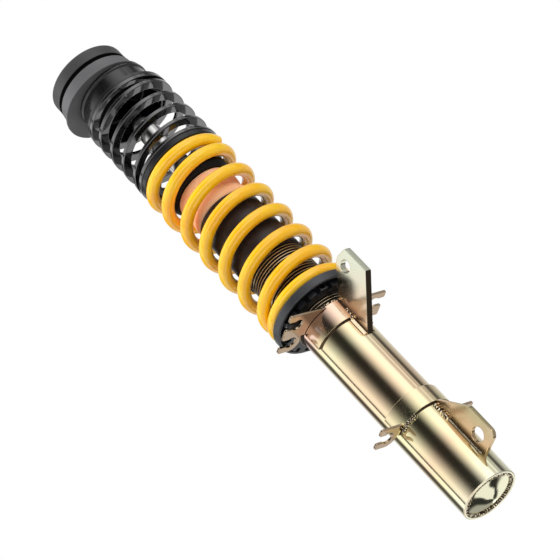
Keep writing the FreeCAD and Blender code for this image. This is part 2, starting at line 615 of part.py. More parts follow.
nut_blank = ring("nut_blank", NUT_R, THREAD_FIT, "nut_height", NUT_LOW)
nut_tools = round_the_strut("nut_slot", "nut_slots", f"nut_slot_depth + {PAST}",
                            "nut_slot_width", f"nut_slot_height + {PAST}",
                            f"{NUT_R} - nut_slot_depth", f"{NUT_LOW} - {PAST}")
nut_tools.append(screw_pin(cylinder("screw_hole", "screw_radius", f"{NUT_R} + {PAST}"), "0"))
nut_tools.append(screw_pin(cylinder("spare_hole", "spare_hole_radius", f"{NUT_R} + {PAST}"),
                           "0", f"screw_angle + {SPARE_HOLE_STEPS} * 360 / nut_slots"))
keep("adjuster_nut", cut("adjuster_nut", nut_blank, fuse("nut_tools", nut_tools)))

screw_blank = screw_pin(cylinder("screw_blank", "screw_radius", "nut_wall + screw_proud"),
                        THREAD_FIT)
screw_socket = screw_pin(hexagon("screw_socket", "screw_socket_radius",
                                 f"screw_socket_depth + {PAST}", "0"),
                         f"({NUT_R} + screw_proud - screw_socket_depth)")
keep("locking_screw", cut("locking_screw", screw_blank, screw_socket))

# The lower spring seat: a flat ring with a hanging rim, stiffened by ribs underneath
SEAT_LOW = f"({SPRING_SEAT} - seat_rim_height)"
SEAT_RIM_IN = f"({MAIN_R} - seat_rim_wall)"
SEAT_BORE = f"({THREAD_FIT} + seat_bore_play)"
turned("lower_spring_seat", [
    (SEAT_BORE, NUT_HIGH), (SEAT_RIM_IN, NUT_HIGH), (SEAT_RIM_IN, SEAT_LOW),
    (MAIN_R, SEAT_LOW), (MAIN_R, SPRING_SEAT), (MAIN_LIP, SPRING_SEAT),
    (f"{MAIN_LIP} - lip_draft", f"{SPRING_SEAT} + adapter_lip"),
    (SEAT_BORE, f"{SPRING_SEAT} + adapter_lip")])
RIB_START = f"({NUT_R} + seat_rib_gap)"
keep("seat_ribs", fuse("seat_ribs", round_the_strut(
    "seat_rib", "seat_ribs", f"{SEAT_RIM_IN} - seat_rib_play - {RIB_START}",
    "seat_rib_wall", f"{NUT_HIGH} - {SEAT_LOW} - seat_rib_recess", RIB_START,
    f"{SEAT_LOW} + seat_rib_recess")))


# The springs: helices drawn as pairs of arcs, a quarter turn at a time
def arc_between(start, corner, end):
    """The arc that leaves start towards corner and reaches end from it."""
    middle = (start + end) * 0.5
    side = (corner - start).Length
    cosine = (end - start).Length / 2 / side
    bulge_share = cosine / (1 + cosine)
    return Part.Arc(start, middle + (corner - middle) * bulge_share, end).toShape()


def biarc(p0, t0, p1, t1):
    """Two arcs from p0 to p1 that leave along t0 and arrive along t1."""
    chord = p1 - p0
    both = t0 + t1
    twist = 2 * (1 - t0.dot(t1))
    reach = chord.dot(both)
    side = (math.sqrt(reach * reach + twist * chord.dot(chord)) - reach) / twist
    first = p0 + t0 * side
    second = p1 - t1 * side
    joint = (first + second) * 0.5
    return [arc_between(p0, first, joint), arc_between(joint, second, p1)]


class Coil:
    """The centre line of a wound spring: a flat foot, a steady climb and a flat head."""

    def __init__(self, stem, radius, seat_low, seat_high):
        self.thick = size(stem + "_wire")
        self.radius = radius
        self.foot = size(f"{seat_low} + {stem}_wire / 2 + rest_gap")
        self.head = size(f"{seat_high} - {stem}_wire / 2 - rest_gap")
        self.first = -size(stem + "_foot_turn")
        self.last = self.first + size(stem + "_turns")
        over_foot = self.thick + size(stem + "_foot_gap")
        under_head = self.thick + size(stem + "_head_gap")
        # A flat end stops where the next coil has just cleared it, one turn on
        self.pitch = ((self.head - self.foot - over_foot - under_head)
                      / (size(stem + "_turns") - 2))
        self.climb_from = self.first + 1 - over_foot / self.pitch
        self.climb_to = self.last - 1 + under_head / self.pitch

    def height(self, turn):
        """Height of the wire's centre, with soft knees where it starts and stops climbing."""
        def ramp(t):
            if abs(t) < SPRING_KNEE:
                return (t + SPRING_KNEE) ** 2 / (4 * SPRING_KNEE)
            return max(t, 0.0)
        return self.foot + self.pitch * (ramp(turn - self.climb_from)
                                         - ramp(turn - self.climb_to))

    def point(self, turn):
        angle = SPRING_FRONT + 2 * math.pi * turn
        return Vector(self.radius * math.cos(angle), self.radius * math.sin(angle),
                      self.height(turn))

    def tangent(self, turn):
        angle = SPRING_FRONT + 2 * math.pi * turn
        small = 0.001
        slope = (self.height(turn + small) - self.height(turn - small)) / (2 * small)
        return Vector(-self.radius * math.sin(angle), self.radius * math.cos(angle),
                      slope / (2 * math.pi)).normalize()

    def path(self):
        """The centre line as one wire of arcs."""
        quarters = int(math.ceil((self.last - self.first) * 4))
        step = (self.last - self.first) / quarters
        turns = [self.first + step * i for i in range(quarters + 1)]
        edges = []
        for start, end in zip(turns, turns[1:]):
            edges.extend(biarc(self.point(start), self.tangent(start),
                               self.point(end), self.tangent(end)))
        return Part.Wire(edges)

    def least_gap(self):
        """Least gap of the wire to its own next turn, measured on points."""
        steps = int((self.last - self.first) * 72)
        turns = [self.first + (self.last - self.first) * i / steps for i in range(steps + 1)]
        points = [(turn, self.point(turn)) for turn in turns]
        nearest = min((p - q).Length for i, (t, p) in enumerate(points)
                      for (s, q) in points[i + 1:] if s - t > 0.5)
        return nearest - self.thick


# The main spring is a round wire, swept along its coil
main_coil = Coil("main", size(f"{MAIN_IN} + main_wire / 2"), SPRING_SEAT, MAIN_TOP)
start = main_coil.point(main_coil.first)
tangent = main_coil.tangent(main_coil.first)
main_section = Part.Wire([Part.Circle(start, tangent, size("main_wire / 2")).toShape()])
feature("main_spring", main_coil.path().makePipeShell([main_section], True, False))
print("main spring, least gap to itself:", round(main_coil.least_gap(), 2))

# The ring between the springs centres both with a lip
ADAPTER_R = f"({HELPER_R} - adapter_step)"
ADAPTER_BORE = f"({MAIN_LIP} - adapter_wall)"
turned("adapter_ring", [
    (ADAPTER_BORE, f"{MAIN_TOP} - adapter_lip"),
    (f"{MAIN_LIP} - lip_draft", f"{MAIN_TOP} - adapter_lip"),
    (MAIN_LIP, MAIN_TOP),
    (ADAPTER_R, MAIN_TOP),
    (ADAPTER_R, ADAPTER_HIGH),
    (HELPER_LIP, ADAPTER_HIGH),
    (f"{HELPER_LIP} - lip_draft", f"{ADAPTER_HIGH} + adapter_lip"),
    (ADAPTER_BORE, f"{ADAPTER_HIGH} + adapter_lip")])

# The helper spring is a flat wire, swept with its broad side held level
helper_coil = Coil("helper", size(f"{HELPER_R} - helper_width / 2"), ADAPTER_HIGH,
                   TOP_RIM_LOW)
start = helper_coil.point(helper_coil.first)
tangent = helper_coil.tangent(helper_coil.first)
outward = Vector(start.x, start.y, 0).normalize()
across = outward * size("helper_width / 2")
upright = outward.cross(tangent).normalize() * size("helper_wire / 2")
corners = [start - across - upright, start + across - upright,
           start + across + upright, start - across + upright]
flat_sweep = Part.BRepOffsetAPI.MakePipeShell(helper_coil.path())
flat_sweep.setBiNormalMode(Vector(0, 0, 1))
flat_sweep.add(Part.makePolygon(corners + [corners[0]]))
flat_sweep.build()
flat_sweep.makeSolid()
feature("helper_spring", flat_sweep.shape())
print("helper spring, least gap to itself:", round(helper_coil.least_gap(), 2))

# The upper spring seat: rim, neck, and a lip inside the helper spring
TOP_RIM_R = f"({HELPER_R} - top_seat_step)"
TOP_RIM_HIGH = f"({TOP_RIM_LOW} + top_seat_rim_height)"
TOP_NECK_R = f"({HELPER_R} - top_seat_shoulder)"
TOP_SEAT_IN = f"({HELPER_LIP} - top_seat_wall)"
turned("upper_spring_seat", [
    (STEM_FIT, TOP_SEAT_FLOOR),
    (f"{TOP_SEAT_IN} - top_seat_taper", TOP_SEAT_FLOOR),
    (TOP_SEAT_IN, f"{TOP_RIM_LOW} + top_seat_inside"),
    (TOP_SEAT_IN, f"{TOP_RIM_LOW} - top_seat_lip"),
    (f"{HELPER_LIP} - lip_draft", f"{TOP_RIM_LOW} - top_seat_lip"),
    (HELPER_LIP, TOP_RIM_LOW),
    (TOP_RIM_R, TOP_RIM_LOW),
    (TOP_RIM_R, TOP_RIM_HIGH),
    (TOP_NECK_R, f"{TOP_RIM_HIGH} + top_seat_bevel"),
    (TOP_NECK_R, TOP_SEAT_HIGH),
    (STEM_FIT, TOP_SEAT_HIGH)])

# The strut bearing stands off the rod's axis: flange, two shells, seal, cage and balls
BEARING_IN = "(bearing_bore / 2)"
LOWER_SHELL_R = f"({BEARING_IN} + bearing_section)"
UPPER_SHELL_R = f"({LOWER_SHELL_R} - upper_shell_inset)"
SEAL_R = f"({LOWER_SHELL_R} - seal_inset)"
FLANGE_R = f"({LOWER_SHELL_R} + flange_lip)"
LOWER_SHELL_LOW = f"({TOP_SEAT_HIGH} + flange_thickness)"
LOWER_SHELL_HIGH = f"({LOWER_SHELL_LOW} + lower_shell_height)"
UPPER_SHELL_LOW = f"({LOWER_SHELL_HIGH} + bearing_gap)"
UPPER_SHELL_HIGH = f"({UPPER_SHELL_LOW} + upper_shell_height)"
turned("bearing_flange", [
    (BEARING_IN, TOP_SEAT_HIGH), (FLANGE_R, TOP_SEAT_HIGH),
    (FLANGE_R, f"{TOP_SEAT_HIGH} + flange_thickness / 2"),
    (LOWER_SHELL_R, LOWER_SHELL_LOW), (BEARING_IN, LOWER_SHELL_LOW)],
    BEARING_X, BEARING_Y)
turned("bearing_lower_shell", [
    (BEARING_IN, LOWER_SHELL_LOW), (LOWER_SHELL_R, LOWER_SHELL_LOW),
    (LOWER_SHELL_R, f"{LOWER_SHELL_HIGH} - shell_bevel"),
    (f"{LOWER_SHELL_R} - shell_bevel", LOWER_SHELL_HIGH), (BEARING_IN, LOWER_SHELL_HIGH)],
    BEARING_X, BEARING_Y)
turned("bearing_seal", [
    (f"{SEAL_R} - seal_width", LOWER_SHELL_HIGH), (SEAL_R, LOWER_SHELL_HIGH),
    (SEAL_R, f"{UPPER_SHELL_LOW} - free_clearance"),
    (f"{SEAL_R} - seal_width", f"{UPPER_SHELL_LOW} - free_clearance")],
    BEARING_X, BEARING_Y)
turned("bearing_upper_shell", [
    (BEARING_IN, UPPER_SHELL_LOW), (f"{UPPER_SHELL_R} - shell_bevel", UPPER_SHELL_LOW),
    (UPPER_SHELL_R, f"{UPPER_SHELL_LOW} + shell_bevel"),
    (UPPER_SHELL_R, f"{UPPER_SHELL_HIGH} - upper_shell_bevel"),
    (f"{UPPER_SHELL_R} - upper_shell_bevel", UPPER_SHELL_HIGH),
    (f"{BEARING_IN} + upper_shell_funnel", UPPER_SHELL_HIGH),
    (BEARING_IN, f"{UPPER_SHELL_HIGH} - upper_shell_funnel")],
    BEARING_X, BEARING_Y)

BALL_R = "((bearing_gap - ball_play) / 2)"
BALL_Z = f"({LOWER_SHELL_HIGH} + {BALL_R})"
BALL_CIRCLE = f"({BEARING_IN} + ball_inset)"
balls = []
pockets = []
for index in range(int(size("ball_count"))):
    angle = f"({360.0 * index / size('ball_count'):.6f} deg)"
    for name, radius, group in (("ball", BALL_R, balls),
                                ("pocket", f"({BALL_R} + running_clearance)", pockets)):
        ball = doc.addObject("Part::Sphere", f"{name}_{index}")
        ball.setExpression("Radius", bound(radius))
        place(ball, f"{BEARING_X} + {BALL_CIRCLE} * cos{angle}",
              f"{BEARING_Y} + {BALL_CIRCLE} * sin{angle}", BALL_Z)
        group.append(ball)
ball_set = doc.addObject("Part::Compound", "bearing_balls")
ball_set.Links = balls
keep("bearing_balls", ball_set)
cage_blank = ring("cage_blank", f"{BALL_CIRCLE} + {BALL_R} + cage_web",
                  f"{BALL_CIRCLE} - {BALL_R} - cage_web", "cage_thickness",
                  f"{BALL_Z} - cage_thickness / 2", BEARING_X, BEARING_Y)
keep("ball_cage", cut("ball_cage", cage_blank, fuse("cage_pockets", pockets)))

# The damper's inside, from the top down: gland nut, seal, guide, then the piston's place
GLAND_LOW = f"({THREAD_TOP} - gland_inset - gland_nut_height)"
SEAL_LOW = f"({GLAND_LOW} - rod_seal_height)"
GUIDE_SHOULDER = f"({SEAL_LOW} - guide_height)"
PRESSURE_HIGH = f"({GUIDE_SHOULDER} + guide_step)"
GUIDE_LOW = f"({PRESSURE_HIGH} - guide_spigot)"
PISTON_HIGH = f"({GUIDE_LOW} - rebound_room)"
PISTON_LOW = f"({PISTON_HIGH} - piston_height)"
ROD_LOW = f"({PISTON_LOW} - piston_nut_height)"
VALVE_LOW = "(cap_inset + cap_height)"
PRESSURE_LOW = f"({VALVE_LOW} + valve_rim + valve_cone)"

# The piston rod, with a hexagon in its upper end, its nuts and its washer
ROD_END = f"({ROD_LOW} - rod_end_proud)"
ROD_HIGH = f"({TOP_SEAT_HIGH} + rod_stem_length)"
rod_blank = turned_body("rod_blank", [
    ("0", ROD_END), (f"{STEM_R} - rod_bevel", ROD_END), (STEM_R, f"{ROD_END} + rod_bevel"),
    (STEM_R, PISTON_HIGH), (ROD_R, PISTON_HIGH),
    (ROD_R, TOP_SEAT_FLOOR), (STEM_R, TOP_SEAT_FLOOR),
    (STEM_R, f"{ROD_HIGH} - rod_bevel"), (f"{STEM_R} - rod_bevel", ROD_HIGH),
    ("0", ROD_HIGH)])
rod_socket = hexagon("rod_socket", "rod_socket_radius", f"rod_socket_depth + {PAST}",
                     f"{ROD_HIGH} - rod_socket_depth")
keep("piston_rod", cut("piston_rod", rod_blank, rod_socket))


def stem_nut(label, height, low):
    """A hexagon nut on one of the rod's threaded ends."""
    blank = hexagon(label + "_blank", "top_nut_radius", height, low)
    hole = cylinder(label + "_hole", STEM_FIT, f"{height} + 2 * {PAST}", f"{low} - {PAST}")
    keep(label, cut(label, blank, hole))


keep("top_washer", ring("top_washer", "washer_od / 2", STEM_FIT, "washer_height",
                        TOP_SEAT_HIGH))
stem_nut("top_nut", "top_nut_height", f"({TOP_SEAT_HIGH} + washer_height)")
keep("piston", ring("piston", f"{PRESSURE_IN} - running_clearance", STEM_FIT,
                    "piston_height", PISTON_LOW))
stem_nut("piston_nut", "piston_nut_height", ROD_LOW)

turned("base_valve", [
    ("0", VALVE_LOW), (TUBE_BORE, VALVE_LOW), (TUBE_BORE, f"{VALVE_LOW} + valve_rim"),
    (PRESSURE_IN, PRESSURE_LOW), (PRESSURE_IN, f"{PRESSURE_LOW} + base_valve_height"),
    ("0", f"{PRESSURE_LOW} + base_valve_height")])
keep("pressure_tube", ring("pressure_tube", PRESSURE_R, PRESSURE_IN,
                           f"{PRESSURE_HIGH} - {PRESSURE_LOW}", PRESSURE_LOW))
turned("rod_guide", [
    (ROD_FIT, GUIDE_LOW), (PRESSURE_IN, GUIDE_LOW), (PRESSURE_IN, PRESSURE_HIGH),
    (PRESSURE_R, PRESSURE_HIGH), (TUBE_BORE, f"{PRESSURE_HIGH} + guide_cone"),
    (TUBE_BORE, SEAL_LOW), (ROD_FIT, SEAL_LOW)])
keep("rod_seal", ring("rod_seal", TUBE_BORE, ROD_FIT, "rod_seal_height", SEAL_LOW))
keep("gland_nut", ring("gland_nut", TUBE_BORE, ROD_ROOM, "gland_nut_height", GLAND_LOW))

# The dust cap covers the top of the thread
DUST_CAP_R = f"({THREAD_FIT} + dust_cap_wall)"
DUST_CAP_LOW = f"({THREAD_TOP} - dust_cap_cover)"
DUST_ROOF_LOW = f"({THREAD_TOP} + dust_cap_gap)"
DUST_CAP_HIGH = f"({DUST_ROOF_LOW} + dust_cap_roof)"
turned("dust_cap", [
    (THREAD_FIT, DUST_CAP_LOW), (DUST_CAP_R, DUST_CAP_LOW),
    (DUST_CAP_R, f"{DUST_CAP_HIGH} - dust_cap_bevel"),
    (f"{DUST_CAP_R} - dust_cap_bevel", DUST_CAP_HIGH),
    (ROD_ROOM, DUST_CAP_HIGH), (ROD_ROOM, DUST_ROOF_LOW), (THREAD_FIT, DUST_ROOF_LOW)])

# The bump stop rests on the dust cap, with a cup on its head
CUP_R = MAIN_LIP
STOP_R = f"({CUP_R} - stop_cup_flare)"
STOP_WAIST_R = f"({STOP_R} - bump_stop_groove)"
STOP_LOW = f"({DUST_CAP_HIGH} + free_clearance)"
STOP_HIGH = f"({STOP_LOW} + bump_stop_height)"
STOP_WAIST = f"({STOP_LOW} + bump_waist_height)"


def bulge(low, high, count):
    """Corners of the bump stop's rounded bulge between two heights, from its formula."""
    corners = []
    for i in range(1, count):
        share = i / count
        swell = f"sin({180 * share:.3f} deg) ^ 0.5"
        corners.append((f"{STOP_WAIST_R} + bump_stop_groove * {swell}",
                        f"{low} + ({high} - {low}) * {share:.4f}"))
    return corners


stop_toe = f"{STOP_WAIST_R} - bump_stop_toe"
stop_profile = [(ROD_FIT, STOP_LOW), (stop_toe, STOP_LOW)]
stop_profile += bulge(STOP_LOW, STOP_WAIST, 7)
stop_profile.append((STOP_WAIST_R, STOP_WAIST))
stop_profile += bulge(STOP_WAIST, STOP_HIGH, 9)
stop_profile += [(stop_toe, STOP_HIGH), (ROD_FIT, STOP_HIGH)]
turned("bump_stop", stop_profile)

CUP_IN = f"({CUP_R} - stop_cup_wall)"
CUP_SHOULDER = f"({STOP_HIGH} + stop_cup_height / 2)"
CUP_FLOOR = f"({STOP_HIGH} + stop_cup_floor)"
turned("stop_cup", [
    (ROD_ROOM, STOP_HIGH),
    (STOP_R, STOP_HIGH),
    (CUP_R, CUP_SHOULDER),
    (CUP_R, f"{STOP_HIGH} + stop_cup_height"),
    (CUP_IN, f"{STOP_HIGH} + stop_cup_height"),
    (CUP_IN, f"{CUP_SHOULDER} + stop_cup_wall / 2"),
    (f"{STOP_R} - stop_cup_wall / 2", CUP_FLOOR),
    (ROD_ROOM, CUP_FLOOR)])

doc.recompute()

# Nothing is written unless every object and every sub-part is sound
for item in doc.Objects:
    if "Invalid" in item.State or "Error" in item.State:
        raise RuntimeError(f"{item.Name} failed: {item.State}")
for label, item in parts.items():
    shape = item.Shape
    if shape.isNull() or not shape.isValid() or not shape.Solids:
        raise RuntimeError(f"{label} has no sound solid")
os.makedirs("parts", exist_ok=True)
for label, item in parts.items():
    item.Shape.exportStep(f"parts/{label}.step")
print(len(parts), "sub-parts written")
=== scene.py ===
# %% [markdown]
# A coilover strut: a damper in a clamp-in tube, with a threaded collar, two springs and a
# bearing on top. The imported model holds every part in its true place, so this script only
# dresses it. All lengths below are in millimetres and are turned into metres at the last
# moment, because a maker thinks in millimetres and Blender in metres.

# %% Load the frame
import math

import bmesh
import bpy
from mathutils import Matrix, Vector


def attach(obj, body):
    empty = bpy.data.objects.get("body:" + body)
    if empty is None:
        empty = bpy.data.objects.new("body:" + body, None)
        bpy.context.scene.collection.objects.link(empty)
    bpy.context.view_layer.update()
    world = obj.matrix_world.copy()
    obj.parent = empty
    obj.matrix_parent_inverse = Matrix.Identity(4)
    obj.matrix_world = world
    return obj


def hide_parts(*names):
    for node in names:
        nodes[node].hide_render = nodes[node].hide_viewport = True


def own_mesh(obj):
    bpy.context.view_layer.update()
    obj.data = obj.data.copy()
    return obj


MM = 0.001
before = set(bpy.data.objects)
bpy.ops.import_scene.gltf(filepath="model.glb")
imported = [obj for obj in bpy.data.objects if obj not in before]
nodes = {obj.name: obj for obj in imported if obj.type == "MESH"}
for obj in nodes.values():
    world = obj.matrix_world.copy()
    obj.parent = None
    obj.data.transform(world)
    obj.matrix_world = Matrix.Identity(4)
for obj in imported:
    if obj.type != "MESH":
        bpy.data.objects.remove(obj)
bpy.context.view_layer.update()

# %% [markdown]
# The camera stands low and far away, with a long lens, and is rolled so that the strut runs
# from the upper left to the lower right of the picture. Its place is worked out from the
# strut itself: how far up the tube it looks, how steeply, and from which side.

# %% Place the camera
LOOK_HEIGHT = 290.36
LOOK_BESIDE = -4.95
DISTANCE = 2519.0
VIEW_TO_AXIS = math.radians(59.6)
VIEW_SIDE = math.radians(42.0)
ROLL_ALONG, ROLL_ACROSS = 0.7302, 0.6833
LENS, SENSOR_WIDTH = 183.2, 36.0
CLIP_NEAR, CLIP_FAR = 0.1, 100.0

across = Vector((math.cos(VIEW_SIDE), math.sin(VIEW_SIDE), 0))
towards = Vector((-math.sin(VIEW_SIDE), math.cos(VIEW_SIDE), 0))
sight = towards * math.sin(VIEW_TO_AXIS) + Vector((0, 0, math.cos(VIEW_TO_AXIS)))
strut_up = (Vector((0, 0, 1)) - sight * math.cos(VIEW_TO_AXIS)) / math.sin(VIEW_TO_AXIS)
camera_up = ROLL_ALONG * strut_up + ROLL_ACROSS * across
camera_right = ROLL_ALONG * across - ROLL_ACROSS * strut_up

camera = bpy.data.objects.new("camera", bpy.data.cameras.new("camera"))
bpy.context.scene.collection.objects.link(camera)
bpy.context.scene.camera = camera
camera.data.lens = LENS
camera.data.sensor_width = SENSOR_WIDTH
camera.data.clip_start, camera.data.clip_end = CLIP_NEAR, CLIP_FAR
turn = Matrix((camera_right, camera_up, -sight)).transposed()
look_at = Vector((0, 0, LOOK_HEIGHT)) + across * LOOK_BESIDE
camera.matrix_world = Matrix.Translation((look_at - sight * DISTANCE) * MM) @ turn.to_4x4()
print("camera at", [round(x, 3) for x in camera.matrix_world.translation])

# %% [markdown]
# Shader maths is written as ordinary expressions. A Wire holds one output socket, and adding
# or multiplying two of them adds the Math node that does it. A Board is one tree of nodes, and
# its node method makes any other node in one line. A Finish is the board of one material.


# %% One output socket, with arithmetic
class Wire:
    """One output socket. Adding, subtracting or multiplying it makes a Math node."""

    def __init__(self, board, socket):
        self.board = board
        self.socket = socket

    def _math(self, operation, *values):
        return self.board.node("Math", {"operation": operation}, dict(enumerate(values)))

    def __add__(self, other):
        return self._math("ADD", self, other)

    __radd__ = __add__

    def __sub__(self, other):
        return self._math("SUBTRACT", self, other)

    def __rsub__(self, other):
        return self._math("SUBTRACT", other, self)

    def __mul__(self, other):
        return self._math("MULTIPLY", self, other)

    __rmul__ = __mul__

    def clamped(self):
        """The value held between 0 and 1."""
        return self.board.node("Clamp", {}, {"Value": self})


# %% A tree of nodes
class Board:
    """A tree of nodes, and the one method that adds a node to it."""

    def __init__(self, owner, cleared=True):
        owner.use_nodes = True
        self.tree = owner.node_tree
        if cleared:
            self.tree.nodes.clear()

    def node(self, kind, settings, inputs, output=0):
        """Any node: its settings first, then the values or links of its sockets."""
        made = self.tree.nodes.new("ShaderNode" + kind)
        for key, value in settings.items():
            if key == "stops":
                ramp = made.color_ramp
                while len(ramp.elements) < len(value):
                    ramp.elements.new(0.5)
                for element, (place, colour) in zip(ramp.elements, value):
                    element.position = place
                    element.color = (*colour, 1.0)
            else:
                setattr(made, key, value)
        for key, value in inputs.items():
            if isinstance(value, Wire):
                self.tree.links.new(value.socket, made.inputs[key])
            elif isinstance(value, tuple) and len(made.inputs[key].default_value) == 4:
                made.inputs[key].default_value = (*value, 1.0)
            else:
                made.inputs[key].default_value = value
        return Wire(self, made.outputs[output]) if made.outputs else None


# %% A material, its main shader, and short ways to feed it
class Finish(Board):
    """A material, its main shader, and short ways to feed it."""

    def __init__(self, name, **sockets):
        self.material = bpy.data.materials.new(name)
        super().__init__(self.material, cleared=False)
        self.shader = self.tree.nodes["Principled BSDF"]
        for socket, value in sockets.items():
            self.set(socket.replace("_", " ").title().replace("Ior", "IOR"), value)

    def set(self, socket, value):
        """Give a socket of the main shader one value, or link a wire to it."""
        target = self.shader.inputs[socket]
        if isinstance(value, Wire):
            self.tree.links.new(value.socket, target)
        else:
            target.default_value = (*value, 1.0) if isinstance(value, tuple) else value

    def place(self, stretch=(1, 1, 1)):
        """Where a point is on the object, in metres, stretched along each axis."""
        spot = self.node("TexCoord", {}, {}, output="Object")
        return self.node("Mapping", {}, {"Vector": spot, "Scale": stretch})

    def from_axis(self):
        """Distance from the strut's axis, in metres."""
        return self.node("VectorMath", {"operation": "LENGTH"}, {0: self.place((1, 1, 0))},
                         output="Value")

    def along(self, axis):
        """How far a point lies along one axis, in metres. Along Z it is the height."""
        return self.node("SeparateXYZ", {}, {"Vector": self.place()}, output=axis)

    def noise(self, lumps, detail=2.0, stretch=(1, 1, 1)):
        """Soft noise, mostly between 0.3 and 0.7; lumps are counted per metre."""
        return self.node("TexNoise", {}, {"Vector": self.place(stretch), "Scale": lumps,
                                          "Detail": detail})

    def ramp(self, value, *stops):
        """A colour from stops of (place, colour), by a value between 0 and 1."""
        return self.node("ValToRGB", {"stops": stops}, {"Fac": value})

    def between(self, value, low, high, out_low=0.0, out_high=1.0):
        """A value's range mapped to another, and held inside it."""
        return self.node("MapRange", {"clamp": True}, {
            "Value": value, "From Min": low, "From Max": high,
            "To Min": out_low, "To Max": out_high})

    def blend(self, factor, first, second):
        """Two colours mixed: the first at factor 0, the second at factor 1."""
        return self.node("Mix", {"data_type": "RGBA"}, {0: factor, 6: first, 7: second},
                         output=2)

    def mottle(self, lumps, dark, light, strong=False):
        """Let the colour drift between two; lumps are counted per metre."""
        drift = self.noise(lumps, 3.0 if strong else 2.0)
        if strong:
            drift = self.between(drift, 0.35, 0.65)
        self.set("Base Color", self.blend(drift, dark, light))

    def vary_sheen(self, lumps, low, high, finer_along=1):
        """Let the roughness vary between two values; the noise may be finer along Z."""
        grain = self.noise(lumps, 2.0, (1, 1, finer_along))
        self.set("Roughness", self.between(grain, 0.3, 0.7, low, high))

    def bumps(self, lumps, distance, strength):
        """Let soft noise tilt the surface; distance is in metres."""
        self.set("Normal", self.node("Bump", {}, {
            "Height": self.noise(lumps, 2.0), "Distance": distance, "Strength": strength}))


# %% The list of finishes
finishes = {}


def finish(name, slot, **sockets):
    """Start a finish that stands for one of the material slots."""
    made = Finish(name, **sockets)
    made.slot = slot
    finishes[name] = made
    return made


# %% [markdown]
# The background is pure white to the camera, in reflections and through glass, and a little
# dimmer where it lights the strut, so that pale surfaces don't clip.

# %% The white world
AMBIENT = 0.62
scene = bpy.context.scene
scene.view_settings.view_transform = "Standard"
scene.world = bpy.data.worlds.new("studio")
studio = Board(scene.world)
seen = studio.node("LightPath", {}, {}, output="Is Camera Ray")
for ray in ("Is Glossy Ray", "Is Transmission Ray"):
    other_ray = studio.node("LightPath", {}, {}, output=ray)
    seen = studio.node("Math", {"operation": "MAXIMUM"}, {0: seen, 1: other_ray})
level = studio.node("MapRange", {}, {"Value": seen, "To Min": AMBIENT, "To Max": 1.0})
sky = studio.node("Background", {}, {"Color": (1.0, 1.0, 1.0), "Strength": level})
studio.node("OutputWorld", {}, {"Surface": sky})
print("world nodes", len(studio.tree.nodes))

# %% [markdown]
# A metal tube that mirrors only white would have no form. So a ring of soft boxes and dark cards
# stands round the strut, which shows in reflections alone. Each stop below is a bearing in
# degrees from the camera, seen from the strut, and how bright the ring is there. What faces
# down mirrors the lower part, where a bright card stands between two dark ones. The ring's own
# sizes are in metres.

# %% How bright the ring is
RING_RADIUS, RING_LOW, RING_HIGH = 3.2, -3.4, 5.0
RING_STOPS = [(-180, 0.90), (-152, 0.60), (-138, 0.07), (-122, 0.10), (-112, 1.25), (-97, 1.25),
              (-94, 0.10), (-89, 0.10), (-86.5, 1.05), (-74, 1.15), (-64, 0.92), (-56, 0.68),
              (-48, 0.48), (-40, 0.29), (-32, 0.13), (-24, 0.05), (-16, 0.025), (-2, 0.025),
              (5, 0.08), (12, 0.28), (20, 0.60), (27, 0.88), (35, 1.15), (44, 1.38), (62, 1.38),
              (68, 0.8), (76, 0.6), (80, 1.1), (85, 0.8), (89, 0.45), (97, 0.65), (101, 0.10),
              (112, 0.08), (122, 0.40), (140, 0.60), (160, 0.80), (180, 0.90)]
# Below the foot: two dark cards that lean together. Each row is a climb in degrees, then where
# the left card starts and ends and where the right one does, as bearings.
LOW_CARDS = [(-90, 60, 179, 181, 300), (-82, 96, 160, 200, 262), (-75, 112, 148, 213, 240),
             (-60, 134, 159, 207, 217), (-45, 146, 162, 190, 210), (-30, 151, 164, 190, 206),
             (-15, 156, 169, 190, 200), (0, 158, 173, 190, 196)]
LOW_LEFT, LOW_MIDDLE, LOW_RIGHT, LOW_DARK = 0.40, 0.95, 1.0, 0.03
# In front: a long, narrow soft box at the level of the strut's foot. Its glow, its top in metres
# and half its span in degrees come first, then the glow below it, by climb.
SOFT_BOX, SOFT_BOX_TOP, SOFT_BOX_HALF = 2.4, 0.6, 55
LOW_FRONT = [(-90, 1.7), (-60, 1.7), (-50, 0.35), (-9, 0.35), (-5, SOFT_BOX), (0, SOFT_BOX)]
FLOOR_RINGS = (0.12, 0.3, 0.5, 0.7, 0.95, 1.25, 1.6, 2.0, 2.5, 3.0)
WALL_RINGS = (RING_LOW, -2.7, -2.1, -1.6, -1.2, -0.8, -0.45, -0.2, -0.05, 0.1, 0.55, 0.65,
              RING_HIGH)
RING_FACETS = 360


def along_stops(stops, place):
    """The value at a place between stops of (place, value)."""
    for (start, low), (end, high) in zip(stops, stops[1:]):
        if start <= place <= end:
            return low + (high - low) * (place - start) / (end - start)


def ring_glow(bearing, radius, z):
    """How bright the ring is at a bearing in degrees from the camera, and at a spot there."""
    climb = math.degrees(math.atan2(z, radius))
    if climb > 0:
        glow = along_stops(RING_STOPS, (bearing + 180) % 360 - 180)
        if z < SOFT_BOX_TOP and not SOFT_BOX_HALF < bearing < 360 - SOFT_BOX_HALF:
            return max(glow, SOFT_BOX)
        return glow
    left_from, left_to, right_from, right_to = (
        along_stops([(row[0], row[k]) for row in LOW_CARDS], climb) for k in (1, 2, 3, 4))
    front = along_stops(LOW_FRONT, climb)
    return along_stops([
        (0, front), (45, front), (60, LOW_LEFT), (left_from - 6, LOW_LEFT),
        (left_from, LOW_DARK), (left_to - 2, LOW_DARK), (left_to + 1, LOW_MIDDLE),
        (right_from - 1, LOW_MIDDLE), (right_from + 2, LOW_DARK), (right_to - 2, LOW_DARK),
        (right_to + 4, LOW_RIGHT), (300, LOW_RIGHT), (315, front), (360, front)], bearing)


